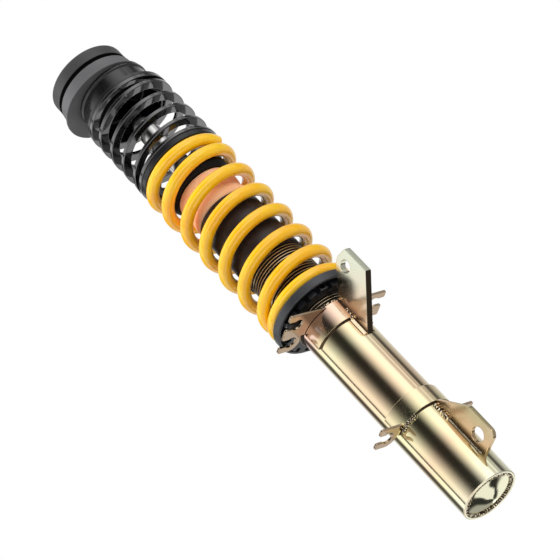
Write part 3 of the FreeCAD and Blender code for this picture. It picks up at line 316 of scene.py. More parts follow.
print("glow straight ahead", round(ring_glow(0, RING_RADIUS, 2.0), 3))


# %% The ring itself
def make_ring():
    """An upright band round the strut, closed below, that carries its glow as an attribute."""
    points, faces, glows = [], [], []
    rows = [(radius, RING_LOW) for radius in FLOOR_RINGS]
    rows += [(RING_RADIUS, z) for z in WALL_RINGS]
    count = len(rows)
    for i in range(RING_FACETS):
        angle = VIEW_SIDE - math.pi / 2 + 2 * math.pi * i / RING_FACETS
        for radius, z in rows:
            points.append((radius * math.cos(angle), radius * math.sin(angle), z))
            glows.append(ring_glow(i, radius, z))
        j = (i + 1) % RING_FACETS
        for k in range(count - 1):
            faces.append((count * i + k, count * j + k, count * j + k + 1, count * i + k + 1))
        faces.append((count * i, count * j, count * RING_FACETS))
    points.append((0, 0, RING_LOW))
    glows.append(LOW_DARK)
    mesh = bpy.data.meshes.new("soft_box_ring")
    mesh.from_pydata(points, [], faces)
    glow_at = mesh.attributes.new("glow", "FLOAT", "POINT")
    for spot, value in zip(glow_at.data, glows):
        spot.value = value
    ring = bpy.data.objects.new("soft_box_ring", mesh)
    scene.collection.objects.link(ring)
    for ray in ("camera", "diffuse", "transmission", "volume_scatter", "shadow"):
        setattr(ring, "visible_" + ray, False)
    return ring


ring = make_ring()
soft_boxes = bpy.data.materials.new("soft_boxes_and_cards")
cards = Board(soft_boxes)
card_glow = cards.node("Attribute", {"attribute_name": "glow"}, {}, output="Fac")
card_light = cards.node("Emission", {}, {"Strength": card_glow})
cards.node("OutputMaterial", {}, {"Surface": card_light})
ring.data.materials.append(soft_boxes)
print("ring faces", len(ring.data.polygons))

# %% [markdown]
# The floor lies well below the strut, so that it hides nothing when the camera looks up. It is
# pale, and white to the camera and to reflections. Two large lamps give the paint its form.

# %% The floor
FLOOR_HEIGHT, FLOOR_REACH = -3.6, 30.0
floor_mesh = bpy.data.meshes.new("floor")
floor_corners = [(x * FLOOR_REACH, y * FLOOR_REACH, FLOOR_HEIGHT)
                 for x, y in ((-1, -1), (1, -1), (1, 1), (-1, 1))]
floor_mesh.from_pydata(floor_corners, [], [(0, 1, 2, 3)])
floor = bpy.data.objects.new("floor", floor_mesh)
scene.collection.objects.link(floor)
pale = Finish("pale_floor", base_color=(0.9, 0.9, 0.9), roughness=0.9)
floor_mesh.materials.append(pale.material)
straight = pale.node("LightPath", {}, {}, output="Is Camera Ray")
mirrored = pale.node("LightPath", {}, {}, output="Is Glossy Ray")
white = pale.node("Emission", {}, {"Strength": 1.0})
mixed = pale.node("MixShader", {}, {
    0: (straight + mirrored).clamped(), 1: Wire(pale, pale.shader.outputs[0]), 2: white})
pale.tree.links.new(mixed.socket, pale.tree.nodes["Material Output"].inputs["Surface"])
print("floor at", FLOOR_HEIGHT)

# %% Two large lamps
LAMP_TARGET = Vector((0, 0, 0.3))


def soft_lamp(name, bearing, climb, distance, size, watts):
    """A square lamp that faces the strut's middle, at a bearing from the camera."""
    data = bpy.data.lights.new(name, "AREA")
    data.size, data.energy = size, watts
    angle = VIEW_SIDE - math.pi / 2 + math.radians(bearing)
    climb = math.radians(climb)
    way = Vector((math.cos(angle) * math.cos(climb), math.sin(angle) * math.cos(climb),
                  math.sin(climb)))
    made = bpy.data.objects.new(name, data)
    scene.collection.objects.link(made)
    made.location = LAMP_TARGET + way * distance
    made.rotation_mode = "QUATERNION"
    made.rotation_quaternion = way.to_track_quat("Z", "Y")
    made.visible_glossy = False
    return made


for lamp_row in (("key", -70, 35, 2.6, 1.6, 66), ("fill", 55, 10, 2.8, 1.8, 36)):
    print("lamp", soft_lamp(*lamp_row).name)

# %% [markdown]
# Yellow zinc plating is thin and clear, so it shines like bright steel with a gold cast. The
# tube went into the bath upright, so its cast drifts between green and pink in bands along it.
# Slow noise bends the bands, and a faint grain keeps the shine from being a mirror's. Shade is
# painted into the creases, where the colour turns near black.

# %% The colours of yellow zinc
GOLD = (0.92, 0.77, 0.46)
PINK_GOLD = (0.93, 0.68, 0.48)
ORANGE_GOLD = (0.98, 0.66, 0.43)
GREEN_SILVER = (0.78, 0.80, 0.64)
# Near black: painted shade in creases and beside the welds, and also the burnt specks of weld metal
BURNT_AND_SHADE = (0.07, 0.045, 0.03)
BATH_TOP = 0.225
BATH_BANDS = [(0.0, (0.90, 0.88, 0.66)), (0.018, (0.89, 0.86, 0.58)), (0.032, (0.91, 0.80, 0.49)),
              (0.050, (0.93, 0.71, 0.47)), (0.068, (0.90, 0.80, 0.50)), (0.086, (0.88, 0.82, 0.49)),
              (0.115, (0.93, 0.72, 0.48)), (0.155, (0.93, 0.73, 0.48)), (0.180, (0.89, 0.83, 0.53)),
              (0.198, (0.92, 0.75, 0.46)), (0.204, (0.86, 0.62, 0.48)),
              (0.225, (0.86, 0.60, 0.47))]
# The ears' darker, browner tint is painted shade: they are the same plated sheet as the band
SHADED_EAR_GOLD = (0.46, 0.345, 0.24)
TAB_GOLD, TAB_TIP_GOLD = (0.68, 0.48, 0.27), (0.54, 0.46, 0.26)
WELD_GOLD, FILLET_GOLD = (0.98, 0.88, 0.66), (0.95, 0.82, 0.56)
# Near black: painted shade on the link plate's lower edge
EDGE_SHADE = (0.06, 0.045, 0.03)
print("bands on the tube", len(BATH_BANDS))

# %% The zinc finish
CREASE_FADE = 0.0003


def zinc(name, roughness, tint=None, far_tint=None, far=(0.034, 0.056), shaded_creases=()):
    """Zinc plate. Without a tint it has the tube's bands. It may turn into a far tint away from
    the tube, and has painted shade in creases, each at a height, up to a reach along X and a
    radius."""
    made = finish(name, "gold_zinc", metallic=1.0)
    drift = made.noise(14.0, 2.0, (1, 1, 0.5))
    if tint is None:
        level = made.along("Z") + (drift - 0.5) * 0.03
        tint = made.ramp(made.between(level, 0.0, BATH_TOP), *(
            (height / BATH_TOP, colour) for height, colour in BATH_BANDS))
    if far_tint:
        tint = made.blend(made.between(made.from_axis(), *far), tint, far_tint)
    warm = made.between(made.noise(22.0, 3.0, (1, 1, 0.6)), 0.50, 0.66)
    colour = made.blend(warm * 0.45, tint, PINK_GOLD)
    # Each crease gets a thin band of near-black colour: painted shade
    for height, reach, radius in shaded_creases:
        under_top = made.between(made.along("Z"), height + 0.0002, height + 0.0005, 1.0, 0.0)
        over_foot = made.between(made.along("Z"), height - 0.0007, height - 0.0004)
        at_root = made.between(made.from_axis(), radius, radius + CREASE_FADE, 1.0, 0.0)
        within = made.between(made.along("X"), reach, reach + CREASE_FADE, 1.0, 0.0)
        colour = made.blend(under_top * over_foot * at_root * within, colour, BURNT_AND_SHADE)
    made.set("Base Color", colour)
    made.vary_sheen(900.0, roughness - 0.01, roughness + 0.02, 0.2)
    made.bumps(40.0, 0.0004, 0.2)
    return made


# The bands' lower edges get painted shade all round, and the ears' roots only as far as the ears
# reach
ALL_ROUND = 0.1
SHADED_BAND_CREASES = ((0.201, ALL_ROUND, 0.0298), (0.0884, ALL_ROUND, 0.0298), (0.221, 0.0248, 0.0306))
zinc("zinc_tube", 0.10)
zinc("zinc_cap", 0.08)
zinc("zinc_bracket", 0.15, None, SHADED_EAR_GOLD, (0.0302, 0.032), SHADED_BAND_CREASES)
plate_zinc = zinc("zinc_plate", 0.17, ORANGE_GOLD, GREEN_SILVER)
zinc("zinc_tab", 0.18, TAB_GOLD, TAB_TIP_GOLD, (0.040, 0.050))
zinc("zinc_sheet", 0.20, GOLD)
print("zinc finishes", len(finishes))

# %% [markdown]
# The link plate's lower edge gets painted shade: its colour turns near black. A point is on that
# edge when it lies far enough along the edge's own outward direction.

# %% The plate's edge, painted dark as shade
EDGE_OUT, EDGE_DOWN, EDGE_FROM = 0.518, 0.855, -0.1394
towards_edge = plate_zinc.along("X") * EDGE_OUT - plate_zinc.along("Z") * EDGE_DOWN
edge_shade_mask = plate_zinc.between(towards_edge, EDGE_FROM, EDGE_FROM + 0.0002)
face_colour = Wire(plate_zinc, plate_zinc.shader.inputs["Base Color"].links[0].from_socket)
plate_zinc.set("Base Color", plate_zinc.blend(edge_shade_mask, face_colour, EDGE_SHADE))
print("plate zinc nodes", len(plate_zinc.tree.nodes))

# %% [markdown]
# Weld metal was plated with the rest. A clean fillet is only lumpy, and a bead has burnt specks
# between its scales. A near-black zinc paints the shade beside the welds and between scales.

# %% Weld metal
fillet_zinc = zinc("zinc_fillet", 0.10, FILLET_GOLD)
fillet_zinc.bumps(260.0, 0.0006, 0.5)
# Near black: painted shade beside the welds and between the foot weld's scales
finish("zinc_painted_shade", "gold_zinc", metallic=1.0, roughness=0.35, base_color=BURNT_AND_SHADE)


def speckled_zinc(name, lumps, bright_from):
    """Bright weld metal with burnt specks; more of it is burnt as bright_from rises."""
    made = finish(name, "gold_zinc", metallic=1.0, roughness=0.16)
    specks = made.between(made.noise(lumps, 2.0), bright_from, bright_from + 0.06)
    made.set("Base Color", made.blend(specks, BURNT_AND_SHADE, WELD_GOLD))
    made.bumps(lumps, 0.0010, 1.0)


speckled_zinc("zinc_speckled", 520.0, 0.47)
speckled_zinc("zinc_sooty", 900.0, 0.54)
print("finishes so far", len(finishes))

# %% [markdown]
# The other bare metals: the threaded part of the tube, which is golden on its crests and painted
# near black between them as shade, the ground chromed rod, and plain steel and aluminium for
# what lies inside.

# %% The thread's finish
CREST_FROM, CREST_AT = 0.02865, 0.02889
thread = finish("zinc_thread", "gold_zinc", metallic=1.0)
on_crest = thread.between(thread.from_axis(), CREST_FROM, CREST_AT)
crest_colour = thread.blend(thread.between(thread.noise(40.0, 2.0), 0.4, 0.6),
                            (0.70, 0.57, 0.38), (0.95, 0.85, 0.62))
# The roots and flanks are painted near black as shade
thread.set("Base Color", thread.blend(on_crest, (0.035, 0.027, 0.02), crest_colour))
thread.set("Roughness", thread.between(on_crest, 0.0, 1.0, 0.45, 0.18))
print("crests begin at", CREST_FROM)

# %% Chrome, steel and aluminium
chrome = finish("hard_chrome", "hard_chrome", metallic=1.0, base_color=(0.60, 0.59, 0.58))
chrome.vary_sheen(1200.0, 0.06, 0.13, 6)

steel = finish("bright_steel", "bright_steel", metallic=1.0)
steel.mottle(60.0, (0.56, 0.56, 0.57), (0.70, 0.70, 0.71))
steel.vary_sheen(500.0, 0.22, 0.36, 8)

aluminium = finish("aluminium", "aluminium", metallic=1.0)
aluminium.mottle(80.0, (0.74, 0.75, 0.77), (0.82, 0.83, 0.84))
aluminium.vary_sheen(400.0, 0.25, 0.4, 9)
print("metals", [made.material.name for made in (chrome, steel, aluminium)])

# %% [markdown]
# Powder coat is a melted plastic skin. It flows almost level, and what is left is orange peel:
# shallow dimples some millimetres across, which ripple each highlight. Under a clear glossy
# coat the colour stays deep.

# %% Yellow and black powder coat
yellow = finish("yellow_powder", "yellow_powder", roughness=0.36, specular_ior_level=0.15,
                coat_weight=0.9, coat_roughness=0.03, coat_ior=1.6)
yellow.mottle(30.0, (1.0, 0.50, 0.002), (1.0, 0.60, 0.004), strong=True)
yellow.bumps(160.0, 0.0016, 0.5)

black_gloss = finish("black_powder", "black_powder", roughness=0.16, coat_weight=1.0,
                     coat_roughness=0.03, coat_ior=1.9)
black_gloss.mottle(50.0, (0.003, 0.003, 0.0035), (0.008, 0.008, 0.009))
black_gloss.bumps(400.0, 0.0002, 0.25)
print("powder coats", yellow.material.name, black_gloss.material.name)

# %% [markdown]
# The lower seat, the nut and the ring between the springs are anodised blue-black. The seat has
# the soft sheen of a blasted surface, and the machined nut is smoother and darker.

# %% The blue-black anodised finishes
anthracite = finish("anthracite", "anthracite", coat_weight=0.15, coat_roughness=0.25)
anthracite.mottle(45.0, (0.024, 0.026, 0.030), (0.042, 0.044, 0.049), strong=True)
anthracite.vary_sheen(700.0, 0.34, 0.48)
anthracite.bumps(1500.0, 0.0001, 0.4)

nut_finish = finish("nut_anthracite", "anthracite", roughness=0.28, specular_ior_level=0.35,
                    coat_weight=0.2, coat_roughness=0.12)
nut_finish.mottle(60.0, (0.006, 0.0065, 0.008), (0.012, 0.0125, 0.015))
nut_finish.bumps(1500.0, 0.0001, 0.3)
print("anodised", anthracite.material.name, nut_finish.material.name)

# %% [markdown]
# Moulded plastics differ mostly in how rough the mould was: the dust cap is satin, the bearing
# shells are matt with a spark-eroded grain. The bump stop is foamed rubber with a closed,
# slightly mottled skin, and the seals are plain matt rubber.


# %% Plastics, rubber and foam
def plastic(name, slot, dark, light, roughness, grain, depth):
    """A mottled moulding; grain is in lumps per metre and depth in metres."""
    made = finish(name, slot)
    made.mottle(40.0, dark, light, strong=True)
    made.vary_sheen(grain * 0.5, roughness - 0.05, roughness + 0.06)
    made.bumps(grain, depth, 0.5)
    return made


plastic("black_plastic", "black_plastic", (0.012, 0.008, 0.009), (0.018, 0.012, 0.013),
        0.34, 900.0, 0.00008)
seat_plastic = plastic("seat_plastic", "black_plastic", (0.003, 0.003, 0.003),
                       (0.006, 0.006, 0.006), 0.30, 900.0, 0.00008)
seat_plastic.set("Specular IOR Level", 0.35)
seat_plastic.set("Coat Weight", 0.8)
seat_plastic.set("Coat Roughness", 0.10)
cup_plastic = plastic("cup_plastic", "black_plastic", (0.002, 0.0015, 0.0015),
                      (0.004, 0.003, 0.003), 0.45, 900.0, 0.00008)
cup_plastic.set("Specular IOR Level", 0.2)
plastic("dark_plastic", "dark_plastic", (0.040, 0.040, 0.042), (0.052, 0.052, 0.054),
        0.50, 1400.0, 0.00012)
plastic("grey_plastic", "grey_plastic", (0.105, 0.105, 0.108), (0.130, 0.130, 0.134),
        0.52, 1400.0, 0.00012)
plastic("black_rubber", "black_rubber", (0.006, 0.006, 0.006), (0.011, 0.011, 0.011),
        0.65, 1200.0, 0.0001)
finish("seal_rubber", "black_rubber", base_color=(0.0012, 0.0012, 0.0012),
       roughness=0.9, specular_ior_level=0.03)
foam = plastic("peach_foam", "peach_foam", (0.94, 0.46, 0.24), (0.97, 0.55, 0.31),
               0.60, 1300.0, 0.00015)
foam.set("Subsurface Weight", 0.25)
foam.set("Subsurface Radius", Vector((0.004, 0.0018, 0.0008)))
foam.set("Subsurface Scale", 1.0)
print("finishes", len(finishes))

# %% [markdown]
# Every piece below starts as a list of points in millimetres and a list of faces, which keeps
# the sums plain. Here such lists become a mesh in metres. It gets its finish and smooth shading,
# is fixed to the body that it moves with, and names the CAD nodes whose place it takes.

# %% From points and faces to a piece
SAME_POINT = 1e-7
SHARP_FROM = math.radians(38)


def mesh_from(name, points, faces):
    """A mesh from points in millimetres, with its faces turned outwards."""
    mesh = bpy.data.meshes.new(name)
    mesh.from_pydata([Vector(p) * MM for p in points], [], faces)
    work = bmesh.new()
    work.from_mesh(mesh)
    bmesh.ops.remove_doubles(work, verts=work.verts, dist=SAME_POINT)
    bmesh.ops.recalc_face_normals(work, faces=work.faces)
    work.to_mesh(mesh)
    work.free()
    return mesh


def settle(name, mesh, body, finish_name, replaced=()):
    """Turn a mesh in metres into a piece that moves with a body."""
    piece = bpy.data.objects.new(name, mesh)
    scene.collection.objects.link(piece)
    mesh.materials.append(finishes[finish_name].material)
    for face in mesh.polygons:
        face.use_smooth = True
    mesh.set_sharp_from_angle(angle=SHARP_FROM)
    weigh = piece.modifiers.new("flat_faces_stay_flat", "WEIGHTED_NORMAL")
    weigh.keep_sharp = True
    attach(piece, body)
    if replaced:
        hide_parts(*replaced)
    return piece


def joined(*parts):
    """Several lists of points and faces as one."""
    points, faces = [], []
    for more_points, more_faces in parts:
        start = len(points)
        points.extend(more_points)
        faces.extend(tuple(start + k for k in face) for face in more_faces)
    return points, faces


def piece_of(name, parts, body, finish_name, replaced=()):
    """A piece from one or more pairs of points and faces."""
    return settle(name, mesh_from(name, *joined(*parts)), body, finish_name, replaced)


print("edges turn sharp from", round(math.degrees(SHARP_FROM)), "degrees")

# %% [markdown]
# Most of a strut is turned on a lathe, so most pieces here are too: an outline of radius and
# height, spun round an axis. Each corner of the outline may be given a small radius, because a
# real edge is never perfectly sharp and it is the small rounds that catch the light.

# %% Rounding the corners of an outline
NEARLY_STRAIGHT = math.radians(88)
LONGEST_CUT = 0.48


def rounded(corners, facets=5):
    """Replace each corner (a, b, radius) of an outline with an arc of that radius."""
    outline = []
    count = len(corners)
    for i, (a, b, radius) in enumerate(corners):
        here = Vector((a, b))
        before = Vector(corners[i - 1][:2]) - here
        after = Vector(corners[(i + 1) % count][:2]) - here
        if radius <= 0:
            outline.append((a, b))
            continue
        before_way, after_way = before.normalized(), after.normalized()
        half = before_way.angle(after_way) / 2
        if half > NEARLY_STRAIGHT:
            outline.append((a, b))
            continue
        back = min(radius / math.tan(half), min(before.length, after.length) * LONGEST_CUT)
        radius = back * math.tan(half)
        centre = here + (before_way + after_way).normalized() * (radius / math.sin(half))
        first = here + before_way * back - centre
        last = here + after_way * back - centre
        sweep = first.angle_signed(last)
        for k in range(facets + 1):
            spoke = first.copy()
            spoke.rotate(Matrix.Rotation(-sweep * k / facets, 2))
            outline.append(tuple(centre + spoke))
    return outline


print("a rounded triangle has", len(rounded([(0, 0, 1), (9, 0, 1), (0, 9, 1)])), "points")


# %% Spinning an outline about an axis
def skin_faces(rings, size, closed, capped=True):
    """Faces between neighbouring rings of points, and over the ends of an open row of rings."""
    faces = []
    for i in range(rings if closed else rings - 1):
        j = (i + 1) % rings
        for k in range(size):
            m = (k + 1) % size
            faces.append((i * size + k, j * size + k, j * size + m, i * size + m))
    if capped and not closed:
        faces.append(tuple(range(size)))
        faces.append(tuple((rings - 1) * size + k for k in range(size)))
    return faces


def lathe_parts(outline, steps, centre=(0.0, 0.0), start=0.0, span=360.0):
    """Points and faces of a closed outline of (radius, height), spun about an upright axis."""
    whole = span >= 360.0
    rings = steps if whole else steps + 1
    points = []
    for i in range(rings):
        angle = math.radians(start + span * i / steps)
        for radius, height in outline:
            points.append((centre[0] + radius * math.cos(angle),
                           centre[1] + radius * math.sin(angle), height))
    return points, skin_faces(rings, len(outline), whole)


def ring_corners(inner, outer, low, high, *rounds):
    """The corners of a plain ring, with the rounding of each, from the lower inner one on."""
    spots = ((inner, low), (outer, low), (outer, high), (inner, high))
    return [(*spot, radius) for spot, radius in zip(spots, rounds)]


def turned(name, corners, body, finish_name, replaced=(), centre=(0.0, 0.0), steps=160):
    """A turned piece from corners of (radius, height, rounding)."""
    parts = [lathe_parts(rounded(corners), steps, centre)]
    return piece_of(name, parts, body, finish_name, replaced)


print("a box has", len(skin_faces(2, 4, closed=False)), "faces")

# %% [markdown]
# The tube stands in the knuckle's clamp. Its foot is turned over to a narrow bright rim, and the
# cap sits a little inside. The cap's dish is part of a ball, so its outline is an arc.

# %% The tube and its dished cap
TUBE_R, TUBE_IN, TUBE_HIGH = 27.5, 25.0, 224.0
turned("strut_tube_skin", ring_corners(TUBE_IN, TUBE_R, 0.0, TUBE_HIGH, 0.5, 0.9, 0.5, 0.2),
       "housing", "zinc_tube", ["strut_tube"], steps=240)

CAP_LOW, CAP_HIGH = 1.2, 14.2
DISH_R, DISH_DEPTH, DISH_STEPS = 38.0, 9.0, 24
dish_centre = CAP_LOW + DISH_DEPTH - DISH_R
dish_edge = math.sqrt(DISH_R ** 2 - (CAP_LOW - dish_centre) ** 2)
dish = [(0.0, CAP_HIGH), (0.0, CAP_LOW + DISH_DEPTH)]
for k in range(1, DISH_STEPS + 1):
    radius = dish_edge * k / DISH_STEPS
    dish.append((radius, dish_centre + math.sqrt(DISH_R ** 2 - radius ** 2)))
dish += [(TUBE_IN, CAP_LOW), (TUBE_IN, CAP_HIGH)]
piece_of("foot_cap_skin", [lathe_parts(dish, 160)], "housing", "zinc_cap", ["foot_cap"])
print("dish edge", round(dish_edge, 2))

# %% [markdown]
# A weld bead is a row of overlapping scales, one for each dip of the torch. It could be modelled
# scale by scale. A round bar whose thickness ripples along its path is shorter to write: each
# scale swells slowly and drops off quickly, and an open bead tapers at its ends.

# %% A weld bead along a path
BEAD_SIDES = 14
BEAD_PEAK, BEAD_SKEW = 1.04, 0.6
TAPER_START, TAPER_GROWTH = 0.35, 8.8


def circle(x, y, radius, steps=48, start=0.0, span=360.0):
    """Points on a circle or, with a span under 360, on an arc with both its ends."""
    count = steps if span >= 360 else steps + 1
    return [(x + radius * math.cos(math.radians(start + span * i / steps)),
             y + radius * math.sin(math.radians(start + span * i / steps)))
            for i in range(count)]


def level_arc(height, radius, steps, start=0.0, span=360.0):
    """Points on an arc about the strut's axis, at a height."""
    return [(x, y, height) for x, y in circle(0, 0, radius, steps, start, span)]


def bead_parts(path, radius, scale_length, depth, closed=False):
    """A weld bead along a path. The depth of its ripples is a share of its radius."""
    points = []
    travelled = 0.0
    count = len(path)
    for i, here in enumerate(path):
        here = Vector(here)
        ahead = Vector(path[(i + 1) % count] if closed or i + 1 < count else path[i])
        behind = Vector(path[i - 1] if closed or i else path[i])
        along = (ahead - behind).normalized()
        if i:
            travelled += (here - Vector(path[i - 1])).length
        phase = (travelled / scale_length) % 1.0
        ripple = math.sin(math.pi * phase ** BEAD_SKEW)
        swell = radius * (BEAD_PEAK - depth + depth * ripple)
        if not closed:
            from_end = min(i, count - 1 - i) / count
            swell *= min(1.0, TAPER_START + TAPER_GROWTH * from_end)
        side = along.orthogonal().normalized()
        other = along.cross(side)
        if abs(along.z) < 0.9:
            side = Vector((0, 0, 1)).cross(along).normalized()
            other = Vector((0, 0, 1))
        for k in range(BEAD_SIDES):
            angle = 2 * math.pi * k / BEAD_SIDES
            points.append(here + swell * (math.cos(angle) * side + math.sin(angle) * other))
    return points, skin_faces(count, BEAD_SIDES, closed)


short_bead, bead_skin = bead_parts([(0, 0, z) for z in range(26)], 2.0, 5.0, 0.2)
print("a short bead has", len(short_bead), "points and", len(bead_skin), "faces")

# %% [markdown]
# The weld round the foot is one long bead. A second, even bar inside it is near black, and shows
# between the scales as painted shade.

# %% The weld round the foot
FOOT_SCALE = 2.4
foot_ring = level_arc(1.9, 23.9, 480)
piece_of("foot_weld_bead", [bead_parts(foot_ring, 1.9, FOOT_SCALE, 0.75, closed=True)],
         "housing", "zinc_speckled", ["foot_weld"])
# The core is near black: painted shade between the scales
piece_of("foot_weld_core", [bead_parts(foot_ring, 1.45, FOOT_SCALE, 0.0, closed=True)],
         "housing", "zinc_painted_shade")
print("foot weld points", len(foot_ring))

# %% [markdown]
# Brackets and plates are cut from sheet. In Blender a flat curve can be given a thickness and a
# rounded rim, and a second loop in it becomes a hole, so the drawing alone makes the piece.


# %% Cutting a piece from sheet
def cut_sheet(loops, thickness, edge, low=None):
    """Sheet metal cut to outlines, with its edges eased. It lies flat with its underside at the
    height low, or stands upright across the Y axis when that is None."""
    curve = bpy.data.curves.new("sheet", "CURVE")
    curve.dimensions = "2D"
    curve.fill_mode = "BOTH"
    curve.extrude = thickness / 2 - edge
    curve.bevel_depth = edge
    curve.bevel_resolution = 2
    curve.offset = -edge
    for loop in loops:
        spline = curve.splines.new("POLY")
        spline.points.add(len(loop) - 1)
        for point, (a, b) in zip(spline.points, loop):
            point.co = (a, b, 0, 1)
        spline.use_cyclic_u = True
    stock = bpy.data.objects.new("sheet", curve)
    scene.collection.objects.link(stock)
    bpy.context.view_layer.update()
    seen_by = bpy.context.evaluated_depsgraph_get()
    mesh = bpy.data.meshes.new_from_object(stock.evaluated_get(seen_by))
    points = []
    for vertex in mesh.vertices:
        a, b, c = vertex.co
        points.append((a, c, b) if low is None else (a, b, low + thickness / 2 + c))
    faces = [tuple(face.vertices) for face in mesh.polygons]
    bpy.data.objects.remove(stock)
    bpy.data.curves.remove(curve)
    bpy.data.meshes.remove(mesh)
    return points, faces


print("a cut disc has", len(cut_sheet([circle(0, 0, 9, 12)], 2.0, 0.2, 0.0)[1]), "faces")

# %% [markdown]
# Both brackets are pressed from 2.5 mm sheet: a band round half of the tube, and an ear on each
# side with keyhole slots, into which plastic clips for a brake hose or a cable snap.

# %% The outline of an ear
SHEET, EAR_EDGE = 2.5, 0.45
EAR_ROOT_BACK = 1.0
SLOT_INSET, SLOT_PITCH, SLOT_HALF, SLOT_DEPTH = 11.3, 20.6, 4.4, 11.2
MOUTH_ROUND, NECK_ROUND, HOOK_ROUND = 1.6, 0.6, 2.4
EYE_R = 5.8
HOOK_R = EYE_R + 5.0


def ear_outline(front, tip, slots):
    """One ear from the tube's wall out to its tip: keyhole slots, and a hook behind the last."""
    eye_y = tip - SLOT_DEPTH
    neck = math.sqrt(EYE_R ** 2 - SLOT_HALF ** 2)
    open_angle = math.degrees(math.atan2(neck, SLOT_HALF))
    wall_front = math.degrees(math.acos(front / TUBE_R))
    wall_back = math.degrees(math.acos(-EAR_ROOT_BACK / TUBE_R))
    path = [(x, y, 0.0) for x, y in circle(0, 0, TUBE_R, 24, wall_back, wall_front - wall_back)]
    path.append((front, tip, MOUTH_ROUND))
    for index in range(slots):
        slot = front - SLOT_INSET - index * SLOT_PITCH
        path.append((slot + SLOT_HALF, tip, MOUTH_ROUND))
        path.append((slot + SLOT_HALF, eye_y + neck, NECK_ROUND))
        eye = circle(slot, eye_y, EYE_R, 22, open_angle, -(180 + 2 * open_angle))
        path.extend((x, y, 0.0) for x, y in eye[1:-1])
        path.append((slot - SLOT_HALF, eye_y + neck, NECK_ROUND))
        path.append((slot - SLOT_HALF, tip, MOUTH_ROUND))
    path.append((slot - HOOK_R, tip, HOOK_ROUND))
    root = math.degrees(math.acos((-EAR_ROOT_BACK - slot) / HOOK_R))
    path.extend((x, y, 0.0) for x, y in circle(slot, eye_y, HOOK_R, 20, 180, 180 - root))
    return rounded(path)


print("the wide ear has", len(ear_outline(25.5, 55.5, 2)), "points")

# %% The two brackets
BRACKET_TURN = math.radians(-1.75)
BAND_IN, BAND_R = TUBE_R - 0.05, TUBE_R + SHEET
UPPER_LOW, UPPER_HIGH, LOWER_LOW, LOWER_HIGH = 201.0, 223.5, 88.4, 108.0


def bracket(name, low, high, ear_low, front, tip, slots):
    """A band between two heights, and two ears whose underside, front and tip are given."""
    band = ring_corners(BAND_IN, BAND_R, low, high, 0.2, 0.25, 0.6, 0.2)
    parts = [lathe_parts(rounded(band), 120, start=-93.0, span=186.0)]
    for side in (-1, 1):
        ear = [(x, side * y) for x, y in ear_outline(front, tip, slots)]
        parts.append(cut_sheet([ear], SHEET, EAR_EDGE, ear_low))
    points, faces = joined(*parts)
    swing = Matrix.Rotation(BRACKET_TURN, 3, "Z")
    swung = [swing @ Vector(point) for point in points]
    return piece_of(name + "_skin", [(swung, faces)], "housing", "zinc_bracket", [name])


for row in (("upper_bracket", UPPER_LOW, UPPER_HIGH, UPPER_HIGH - SHEET, 25.5, 55.5, 2),
            ("lower_bracket", LOWER_LOW, LOWER_HIGH, LOWER_LOW, 10.8, 53.5, 1)):
    print(row[0], "faces", len(bracket(*row).data.polygons))

# %% [markdown]
# The link plate is the thickest sheet on the strut, because the stabiliser link pulls on its
# hole at every bump. The tab below it slips into the slit of the knuckle's clamp.

# %% The link plate and the tab
PLATE_THICK, TAB_THICK = 6.5, 4.0
PLATE_ROOT, TAB_HIGH = 27.3, 87.4
plate_outline = rounded([
    (PLATE_ROOT, 179.0, 0.0), (75.2, 208.0, 1.8), (75.2, 238.6, 2.0), (63.2, 242.6, 2.5),
    (57.6, 241.2, 3.0), (53.6, 238.6, 3.0), (32.0, UPPER_HIGH, 0.0), (29.8, UPPER_HIGH, 0.0),
    (29.8, UPPER_LOW, 0.0), (PLATE_ROOT, UPPER_LOW, 0.0)])
link_hole = circle(61.5, 230.0, 6.05, 64)[::-1]
link_plate = piece_of("link_plate_skin", [cut_sheet([plate_outline, link_hole], PLATE_THICK, 0.5)],
                      "housing", "zinc_plate", ["link_plate"])

tab_outline = rounded([
    (PLATE_ROOT, 20.5, 0.0), (52.8, 20.5, 7.0), (52.8, 54.8, 5.0), (32.0, TAB_HIGH, 1.0),
    (PLATE_ROOT, TAB_HIGH, 0.0)], facets=8)
tab_hole = circle(38.2, 35.6, 7.0, 64)[::-1]
tab = piece_of("locating_tab_skin", [cut_sheet([tab_outline, tab_hole], TAB_THICK, 0.45)],
               "housing", "zinc_tab", ["locating_tab"])
print("plate and tab faces", len(link_plate.data.polygons), len(tab.data.polygons))

# %% [markdown]
# A flat fillet joins each side of the plate and of the tab to the tube, and a bead hangs under
# the lower band. A fillet is a bar with three sides, one of them laid against the tube.


# %% The fillets and the band's bead
def fillet_parts(half, width, low, high):
    """A flat weld fillet between the tube and each side of a plate that stands on it."""
    foot = math.sqrt(TUBE_R ** 2 - (half + width) ** 2) - 0.15
    sides = []
    for side in (-1, 1):
        outline = [(foot, half + width), (28.6, half - 0.1), (foot - 0.4, half - 0.1)]
        points = [(x, side * y, z) for z in (low, high) for x, y in outline]
        sides.append((points, skin_faces(2, len(outline), closed=False)))
    return joined(*sides)


fillets = [fillet_parts(PLATE_THICK / 2, 3.4, 180.5, 200.4),
           fillet_parts(TAB_THICK / 2, 1.5, 24.0, 68.0)]
piece_of("plate_weld_fillets", fillets, "housing", "zinc_fillet", ["plate_welds"])
BEAD_FROM = -86.0
bead_path = level_arc(LOWER_LOW - 1.2, 28.4, 80, BEAD_FROM, 42.0)
piece_of("band_weld_bead", [bead_parts(bead_path, 2.0, 2.6, 0.35)], "housing", "zinc_sooty",
         ["bracket_weld"])
print("fillets", len(fillets))

# %% [markdown]
# Beside every weld a thin near-black line is painted shade, and small bright beads fill the
# corners between the band, the plate and the tab. They are beads too, upright or along the band.


# %% Painted shade and bright runs beside the welds
def upright(x, y, low, high, steps):
    """Points on an upright line."""
    return [(x, y, low + (high - low) * k / steps) for k in range(steps + 1)]
